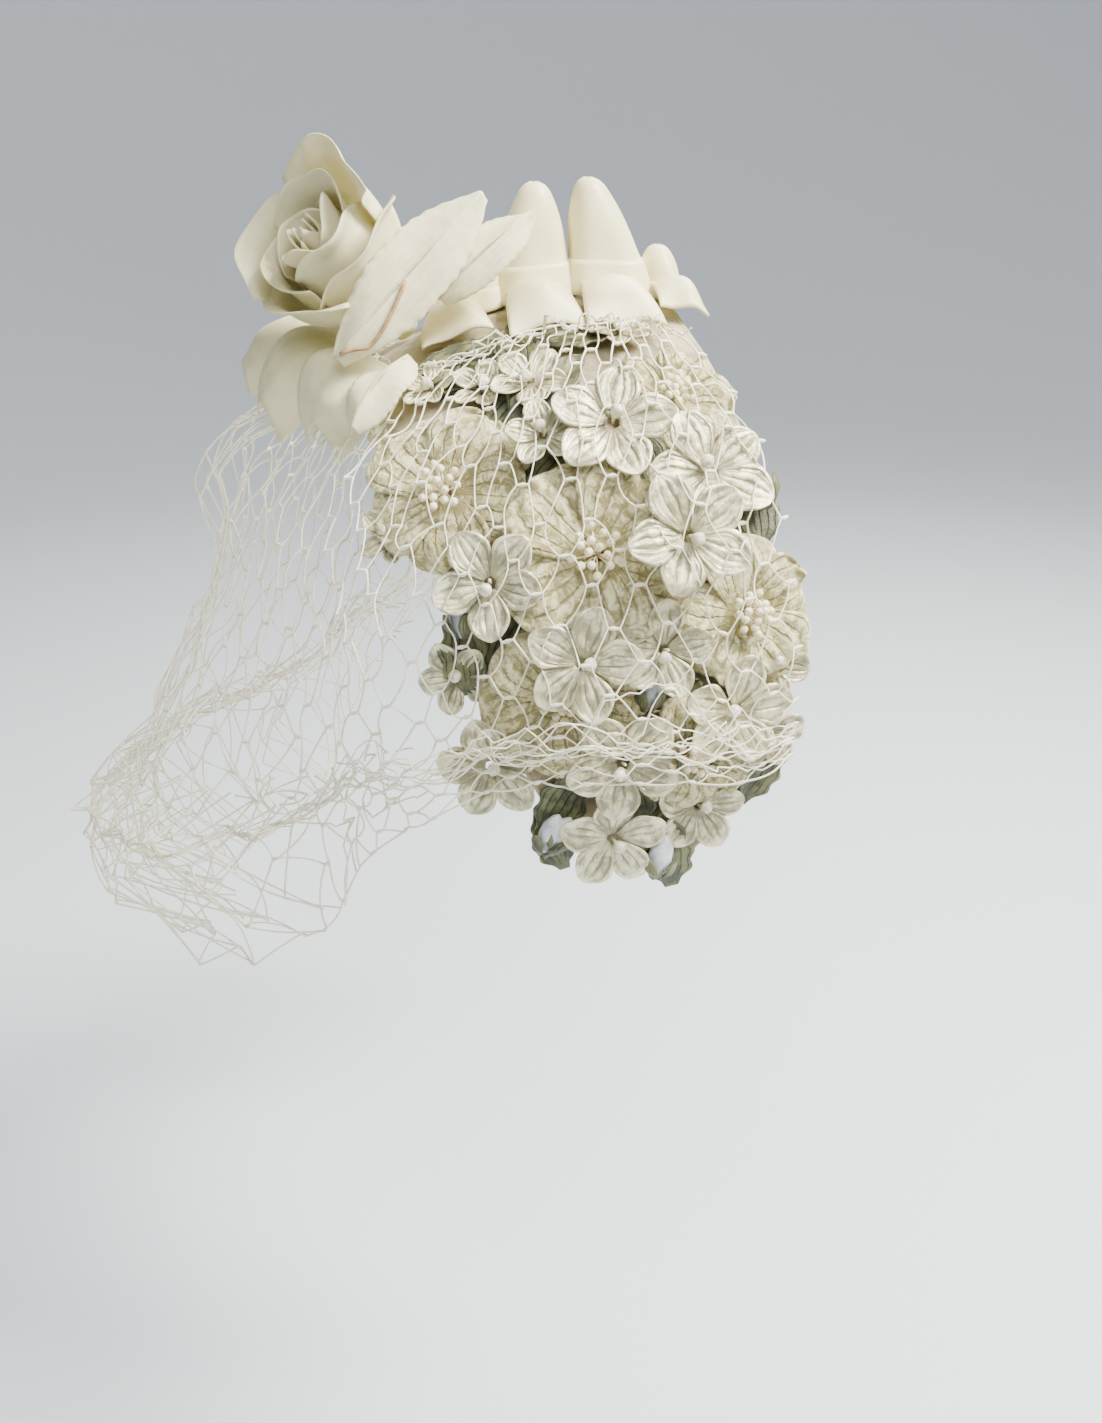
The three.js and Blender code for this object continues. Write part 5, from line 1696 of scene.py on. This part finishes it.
class NetVeil:
    """The veil: knotted net over the flowers, which puffs out over the brow."""

    NODES = ("veil_left", "veil_front", "veil_right")
    LIES_ON = ("velvet_flower_1_cloth", "velvet_flower_2_cloth", "base_band")
    STATIONS = (
        Station(0, 38, 128),
        Station(18, 38, 128),
        Station(34, 37, 126),
        Station(46, 32, 113),
        Station(64, 25, 101),
        Station(90, 22, 97),
        Station(105, 22, 101),
        Station(118, 27, 96),
    )
    SIDE_TURN = 114.0
    BROW_SHARE = 0.6
    COLUMNS = 36
    ROWS = 20
    ROW_MARKS = (0, 0.09, 0.68, 0.9, 1)
    FRONT_ROWS = (0, 0.045, 0.75, 0.83, 1)
    SIDE_ROWS = (0, 0.07, 0.85, 0.96, 1)
    FRONT_TURNS = (30, 62)
    LAID_TURNS = (46, 62)
    LAID_ROW = 0.9
    FLOWER_HEIGHT = 3
    THREAD = 0.235
    FINER = 0.25
    CUT = (160.0, 380.0)
    CUT_SHARE = 0.302
    GATHERS = 10
    EDGE_GATHERS = 3
    GATHER_STEPS = 150
    EDGE_ROW = 0.04
    BUNCH_ROW = 0.79
    KNOT_REACH = 1.15
    KNOT_THICK = (1.15, 2.3, 1.15)
    FOLD_ROW = 0.66
    FOLD_SHARE = 0.44
    FOLD_SHIFT = (-7.0, 3.0, 1.8)
    STEPS = 5
    NEAR = 6
    LOOK_FROM = 60.0
    LOOK_REACH = 70.0

    def __init__(self, under: Sequence[bpy.types.Object]) -> None:
        """Plan the net.

        Args:
            under: The pieces that it lies over.
        """
        points, faces = [], []
        for piece in under:
            faces += [tuple(len(points) + i for i in p.vertices) for p in piece.data.polygons]
            points += [v.co.copy() for v in piece.data.vertices]
        self.under = BVHTree.FromPolygons(points, faces)
        self.rng = np.random.default_rng(7)
        self.solid = np.concatenate([node_points(name) for name in self.NODES])
        self.solid_height = SEAT.height_of(self.solid)
        self.lookup = KDTree(len(self.solid))
        for number, way in enumerate(unit(self.solid - SEAT.centre)):
            self.lookup.insert(way, number)
        self.lookup.balance()
        self.points: list[Array] = []
        self.edges: list[tuple[int, int]] = []
        self.thick: list[float] = []

    def ways(self, across: Array, row: Array) -> Array:
        """Find the net's directions from the seat's centre.

        Args:
            across: Places from -1 to 1 round the headpiece.
            row: Places from the upper edge at 0 to the hem at 1, in even rows of the net.

        Returns:
            Directions.
        """
        turn = across * self.SIDE_TURN
        marks = [station.turn for station in self.STATIONS]
        top = smooth_rows(np.abs(turn), marks, [station.top for station in self.STATIONS])
        hem = smooth_rows(np.abs(turn), marks, [station.hem for station in self.STATIONS])
        front = smooth_rows(row, self.ROW_MARKS, self.FRONT_ROWS)
        side = smooth_rows(row, self.ROW_MARKS, self.SIDE_ROWS)
        down = front + (side - front) * ease(np.abs(turn), *self.FRONT_TURNS)
        return SEAT.way(turn, top + (hem - top) * down)

    def shell(self, way: Array) -> float:
        """Read how high the CAD net stands along a direction.

        Args:
            way: The direction.

        Returns:
            Its height over the seat, from the nearest points of the net.
        """
        found = self.lookup.find_n(way, self.NEAR)
        weights = np.array([1 / (far + 0.01) ** 2 for _, _, far in found])
        heights = self.solid_height[[number for _, number, _ in found]]
        return float(weights @ heights / weights.sum())

    def _top(self, way: Array) -> float:
        """Find how high the flowers stand along a direction.

        Args:
            way: The direction.

        Returns:
            Their height over the seat, or 0 where there are none.
        """
        eye = Vector(SEAT.over(way, self.LOOK_FROM) * MM)
        hit, _, _, _ = self.under.ray_cast(eye, -Vector(way), self.LOOK_REACH * MM)
        return 0.0 if hit is None else float(SEAT.height_of(np.array(hit) / MM))

    def build(self) -> list[bpy.types.Object]:
        """Build the net.

        Returns:
            The pieces.
        """
        self._weave()
        self._gathers()
        data = bpy.data.meshes.new("net_lines")
        data.from_pydata((np.array(self.points) * MM).tolist(), self.edges, [])
        data.attributes.new("thick", "FLOAT", "POINT").data.foreach_set("value", self.thick)
        lines = bpy.data.objects.new("net_lines", data)
        bpy.context.scene.collection.objects.link(lines)
        sizes = {"Thread": self.THREAD * MM, "Material": NET.material()}
        piece = run_tree(lines, net_tree(), sizes, "veil_net")
        settle(piece, "net", *self.NODES)
        cut(piece, *self.CUT, "draped", self.LIES_ON, self.CUT_SHARE)
        return [piece]

    def _weave(self) -> None:
        """Add the knots and the strands between them, with the fold crushed behind the front hem."""
        index, share, row = self._lattice()
        strands = [
            (number, index[column + step, line + 1], step)
            for (column, line), number in index.items()
            for step in (-1, 1)
            if (column + step, line + 1) in index
        ]
        ways = self.ways(share, row)
        shell = np.array([self.shell(way) for way in ways])
        tops = np.array([self._top(way) for way in ways])
        aside = ease(np.abs(share) * self.SIDE_TURN, *self.LAID_TURNS) * (row < self.LAID_ROW)
        knots = SEAT.over(ways, self._drape(shell, tops, aside, strands))
        after = SEAT.over(self.ways(share + 0.01, row), shell)
        before = SEAT.over(self.ways(share - 0.01, row), shell)
        side = unit(after - before)
        ends = {
            step: self.KNOT_REACH * step * side + knots + self.rng.normal(0, 0.12, knots.shape)
            for step in (-1, 1)
        }
        inwards, up, spread = self.FOLD_SHIFT
        fold = inwards * ways + (0, 0, up) + self.rng.normal(0, spread, knots.shape)
        for left, middle, right in zip(ends[-1], knots, ends[1]):
            self._line(np.array((left, middle, right)), self.KNOT_THICK)
        for upper, lower, step in strands:
            thick = 1 - self.FINER * (tops[upper] > self.FLOWER_HEIGHT)
            self._strand(ends[step][upper], ends[-step][lower], thick)
            if row[upper] > self.FOLD_ROW and abs(share[upper]) < self.FOLD_SHARE:
                self._strand(ends[step][upper] + fold[upper], ends[-step][lower] + fold[lower])
        for line in (0, self.ROWS):
            edge = [number for (_, at), number in sorted(index.items()) if at == line]
            for a, b in zip(edge, edge[1:]):
                self._strand(ends[1][a], ends[-1][b])

    def _line(self, path: Array, thick: Sequence[float]) -> None:
        """Add one thread.

        Args:
            path: Its points.
            thick: Its thickness at each, as a share of the thread's.
        """
        first = len(self.points)
        self.points.extend(path)
        self.thick.extend(thick)
        self.edges.extend((first + i, first + i + 1) for i in range(len(path) - 1))

    def _strand(self, first: Array, last: Array, thick: float = 1.0) -> None:
        """Add a strand that bends softly, and lies over what is under it.

        Args:
            first: Where it starts.
            last: Where it ends.
            thick: Its thickness, as a share of the thread's.
        """
        share = np.linspace(0, 1, self.STEPS + 1)
        bend = self.rng.normal(0, 0.16 * np.linalg.norm(last - first) ** 0.8, 3)
        bow = 4 * share * (1 - share)
        path = first + np.outer(share, last - first) + np.outer(bow, bend) * 0.6
        for i in range(1, self.STEPS):
            out = unit(path[i] - SEAT.centre)
            low = self._top(out) + 0.4 - float(SEAT.height_of(path[i]))
            path[i] = path[i] + out * max(0.0, low)
        self._line(path, thick + 0.25 * np.abs(2 * share - 1) ** 3)

    def _gathers(self) -> None:
        """Add the loose threads that run along the upper edge and the bunched rows over the hem."""
        turns = np.linspace(-0.98, 0.98, self.GATHER_STEPS)
        for number in range(self.GATHERS):
            at_edge = number < self.EDGE_GATHERS
            wander = self.rng.normal(0, 1, len(turns))
            for _ in range(2):
                wander = (np.roll(wander, 1) + wander + np.roll(wander, -1)) / 3
            middle = self.EDGE_ROW if at_edge else self.BUNCH_ROW + self.rng.uniform(-0.08, 0.1)
            row = np.clip(middle + 0.09 * wander * (0.4 if at_edge else 1), 0, 1)
            ways = self.ways(turns + self.rng.normal(0, 0.002, len(turns)), row)
            height = [max(self.shell(way), self._top(way) + 0.8) for way in ways]
            points = SEAT.over(ways, np.array(height) + self.rng.normal(0, 0.5, len(turns)))
            self._line(points, np.full(len(turns), 0.8))

    def _lattice(self) -> tuple[dict[tuple[int, int], int], Array, Array]:
        """Number the knots, and place them over the net's width and rows.

        Returns:
            Each knot's number by its column and line, then its place across from -1 to 1 and its row
            from 0 to 1.
        """
        index: dict[tuple[int, int], int] = {}
        places = []
        for line in range(self.ROWS + 1):
            for column in range(line % 2, 2 * self.COLUMNS + 1, 2):
                index[column, line] = len(places)
                places.append((column / self.COLUMNS - 1, line / self.ROWS))
        share, row = np.array(places).T
        share = share * (self.BROW_SHARE + (1 - self.BROW_SHARE) * np.abs(share))
        share = np.clip(share + self.rng.normal(0, 0.0035, len(share)), -1, 1)
        row = np.clip(row + self.rng.normal(0, 0.006, len(row)) * ((row > 0) & (row < 1)), 0, 1)
        return index, share, row

    def _drape(
        self, shell: Array, tops: Array, aside: Array, strands: list[tuple[int, int, int]]
    ) -> Array:
        """Let the net down onto the flowers, and leave it as it stands elsewhere.

        Args:
            shell: Height of the CAD net at each knot.
            tops: Height of the flowers under each knot.
            aside: How far each knot lies at the sides, where the net is let down.
            strands: The knots that each strand joins.

        Returns:
            The height of each knot.
        """
        a, b = np.array(strands).T[:2]
        count = np.bincount(np.concatenate((a, b)), minlength=len(shell))

        def spread(values: Array) -> Array:
            """Take half of each knot's value from its neighbours.

            Args:
                values: A value for each knot.

            Returns:
                The new values.
            """
            near = np.bincount(a, values[b], len(shell)) + np.bincount(b, values[a], len(shell))
            return 0.5 * values + 0.5 * near / count

        flowers = tops > self.FLOWER_HEIGHT
        over = flowers.astype(float)
        laid = shell + (np.minimum(shell, 4.0) - shell) * aside
        low = np.where(flowers, np.minimum(shell, tops + 1.0), laid)
        for _ in range(3):
            over = spread(over)
        for _ in range(6):
            low = np.where(flowers, np.maximum(spread(low), np.minimum(shell, tops + 0.7)), spread(low))
        weight = np.maximum(ease(over, 0.3, 0.8), aside)
        return low * weight + shell * (1 - weight)


def net_tree() -> bpy.types.GeometryNodeTree:
    """Make the tree that turns net lines into threads with knots.

    Returns:
        The tree.
    """
    tree = bpy.data.node_groups.new("net_threads", "GeometryNodeTree")
    sockets = (("Geometry", "Geometry"), ("Thread", "Float"), ("Material", "Material"))
    for name, kind in sockets:
        tree.interface.new_socket(name, in_out="INPUT", socket_type="NodeSocket" + kind)
    tree.interface.new_socket("Geometry", in_out="OUTPUT", socket_type="NodeSocketGeometry")
    nodes, links = tree.nodes, tree.links
    given, result = nodes.new("NodeGroupInput"), nodes.new("NodeGroupOutput")
    thick = nodes.new("GeometryNodeInputNamedAttribute")
    thick.inputs["Name"].default_value = "thick"
    curves, circle = nodes.new("GeometryNodeMeshToCurve"), nodes.new("GeometryNodeCurvePrimitiveCircle")
    threads = nodes.new("GeometryNodeCurveToMesh")
    circle.inputs["Resolution"].default_value = 5
    threads.inputs["Fill Caps"].default_value = True
    real, smooth = nodes.new("GeometryNodeRealizeInstances"), nodes.new("GeometryNodeSetShadeSmooth")
    paint = nodes.new("GeometryNodeSetMaterial")
    links.new(given.outputs["Geometry"], curves.inputs["Mesh"])
    links.new(given.outputs["Thread"], circle.inputs["Radius"])
    links.new(curves.outputs["Curve"], threads.inputs["Curve"])
    links.new(circle.outputs["Curve"], threads.inputs["Profile Curve"])
    links.new(thick.outputs["Attribute"], threads.inputs["Scale"])
    links.new(threads.outputs["Mesh"], real.inputs["Geometry"])
    links.new(real.outputs["Geometry"], smooth.inputs["Geometry"])
    links.new(smooth.outputs["Geometry"], paint.inputs["Geometry"])
    links.new(given.outputs["Material"], paint.inputs["Material"])
    links.new(paint.outputs["Geometry"], result.inputs["Geometry"])
    return tree


def run_tree(
    base: bpy.types.Object, tree: bpy.types.GeometryNodeTree, values: dict[str, object], name: str
) -> bpy.types.Object:
    """Run a geometry tree on an object, and keep only its result.

    Args:
        base: The object with the input mesh, which is removed.
        tree: The tree.
        values: Input values by the tree's socket names.
        name: The result's name.

    Returns:
        The new object.
    """
    modifier = base.modifiers.new("made", "NODES")
    modifier.node_group = tree
    for item in tree.interface.items_tree:
        if item.item_type == "SOCKET" and item.in_out == "INPUT" and item.name in values:
            modifier[item.identifier] = values[item.name]
    bpy.context.view_layer.update()
    data = bpy.data.meshes.new_from_object(base.evaluated_get(bpy.context.evaluated_depsgraph_get()))
    data.name = name
    piece = bpy.data.objects.new(name, data)
    bpy.context.scene.collection.objects.link(piece)
    bpy.data.objects.remove(base)
    return piece


# Studio


@dataclass(frozen=True)
class Lamp:
    """One soft light that faces the headpiece.

    Attributes:
        name: Its name.
        place: Where it hangs, in metres.
        power: Its power in watts.
        size: Its side in metres.
        colour: Its colour.
    """

    name: str
    place: tuple[float, float, float]
    power: float
    size: float
    colour: Colour


@dataclass(frozen=True)
class Studio:
    """Camera, floor and light, as in the photograph.

    Attributes:
        eye: The camera's place in millimetres.
        pitch: Degrees that it looks up.
        yaw: Degrees round from +X that it looks.
        lens: Focal length on a 36 mm wide sensor.
        floor: Height of the floor.
        paper: Colour of the floor.
        paper_glow: Colour and strength of the floor's own light.
        aim: What the lamps face, in metres.
        lamps: The lamps.
        room: Colour of the light all round.
        room_strength: Its strength.
    """

    eye: tuple[float, float, float] = (375.74, -59.51, 43.61)
    pitch: float = -21.877
    yaw: float = 172.562
    lens: float = 37.95
    floor: float = -300.0
    paper: Colour = (0.62, 0.66, 0.71)
    paper_glow: tuple[Colour, float] = ((0.86, 0.88, 0.92), 0.03)
    aim: tuple[float, float, float] = (0.0, 0.0, -0.05)
    lamps: tuple[Lamp, ...] = (
        Lamp("key", (0.2, 0.44, 0.62), 32.0, 0.3, (1.0, 0.96, 0.88)),
        Lamp("back", (-0.5, 0.3, 0.5), 10.0, 0.4, (1.0, 0.97, 0.9)),
        Lamp("fill", (0.6, 0.0, 0.62), 7.0, 0.5, (0.95, 0.97, 1.0)),
    )
    room: Colour = (0.78, 0.8, 0.84)
    room_strength: float = 0.17

    def build(self) -> None:
        """Set up the camera, the floor and the lights."""
        self._camera()
        self._floor()
        for lamp in self.lamps:
            self._light(lamp)
        world = bpy.data.worlds.new("room")
        bpy.context.scene.world = world
        world.use_nodes = True
        world.node_tree.nodes["Background"].inputs["Color"].default_value = (*self.room, 1)
        world.node_tree.nodes["Background"].inputs["Strength"].default_value = self.room_strength

    def _camera(self) -> None:
        """Place the camera."""
        pitch, yaw = math.radians(self.pitch), math.radians(self.yaw)
        ahead = Vector((math.cos(yaw) * math.cos(pitch), math.sin(yaw) * math.cos(pitch), math.sin(pitch)))
        data = bpy.data.cameras.new("camera")
        data.lens = self.lens
        data.sensor_width = 36
        camera = bpy.data.objects.new("camera", data)
        camera.location = Vector(self.eye) * MM
        camera.rotation_euler = ahead.to_track_quat("-Z", "Y").to_euler()
        bpy.context.scene.collection.objects.link(camera)
        bpy.context.scene.camera = camera

    def _floor(self) -> None:
        """Lay a pale floor that curves up to a wall all round."""
        data = bpy.data.meshes.new("floor")
        sides, flat, bend, wall = 64, 1.1, 0.9, 1.6
        curve = np.radians(np.linspace(0, 90, 13))
        radii = np.concatenate(((0.02,), flat + bend * np.sin(curve), (flat + bend,)))
        heights = np.concatenate(((0.0,), bend * (1 - np.cos(curve)), (bend + wall,)))
        around = 2 * np.pi * np.arange(sides) / sides
        points = [
            (radius * math.cos(angle), radius * math.sin(angle), height + self.floor * MM)
            for radius, height in zip(radii, heights)
            for angle in around
        ]
        faces = [tuple(range(sides))]
        for ring in range(len(radii) - 1):
            for i in range(sides):
                a, b = ring * sides + i, ring * sides + (i + 1) % sides
                faces.append((a, a + sides, b + sides, b))
        data.from_pydata(points, [], faces)
        data.polygons.foreach_set("use_smooth", [True] * len(faces))
        graph = Graph("floor_paper")
        graph.shader.inputs["Base Color"].default_value = (*self.paper, 1)
        graph.shader.inputs["Roughness"].default_value = 0.85
        glow, strength = self.paper_glow
        graph.shader.inputs["Emission Color"].default_value = (*glow, 1)
        graph.shader.inputs["Emission Strength"].default_value = strength
        data.materials.append(graph.material)
        floor = bpy.data.objects.new("floor", data)
        bpy.context.scene.collection.objects.link(floor)

    def _light(self, lamp: Lamp) -> None:
        """Hang one lamp.

        Args:
            lamp: The lamp.
        """
        data = bpy.data.lights.new(lamp.name, "AREA")
        data.energy = lamp.power
        data.size = lamp.size
        data.color = lamp.colour
        light = bpy.data.objects.new(lamp.name, data)
        light.location = lamp.place
        ahead = Vector(self.aim) - Vector(lamp.place)
        light.rotation_euler = ahead.to_track_quat("-Z", "Y").to_euler()
        bpy.context.scene.collection.objects.link(light)


def main() -> None:
    """Build the headpiece."""
    logging.basicConfig(level=logging.INFO, format="%(message)s")
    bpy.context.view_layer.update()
    Studio().build()
    pieces = Band().build()
    flowers = Cluster(LEFT_SPOTS, False, 100).build() + Cluster(RIGHT_SPOTS, True, 200).build()
    pieces += flowers + SilkRose().build() + RibbonRow().build()
    pieces += NetVeil(flowers).build()
    for piece in pieces:
        area = sum(face.area for face in piece.data.polygons)
        log.info("%s: %d faces, %.5f m2", piece.name, len(piece.data.polygons), area)


if __name__ == "__main__":
    main()
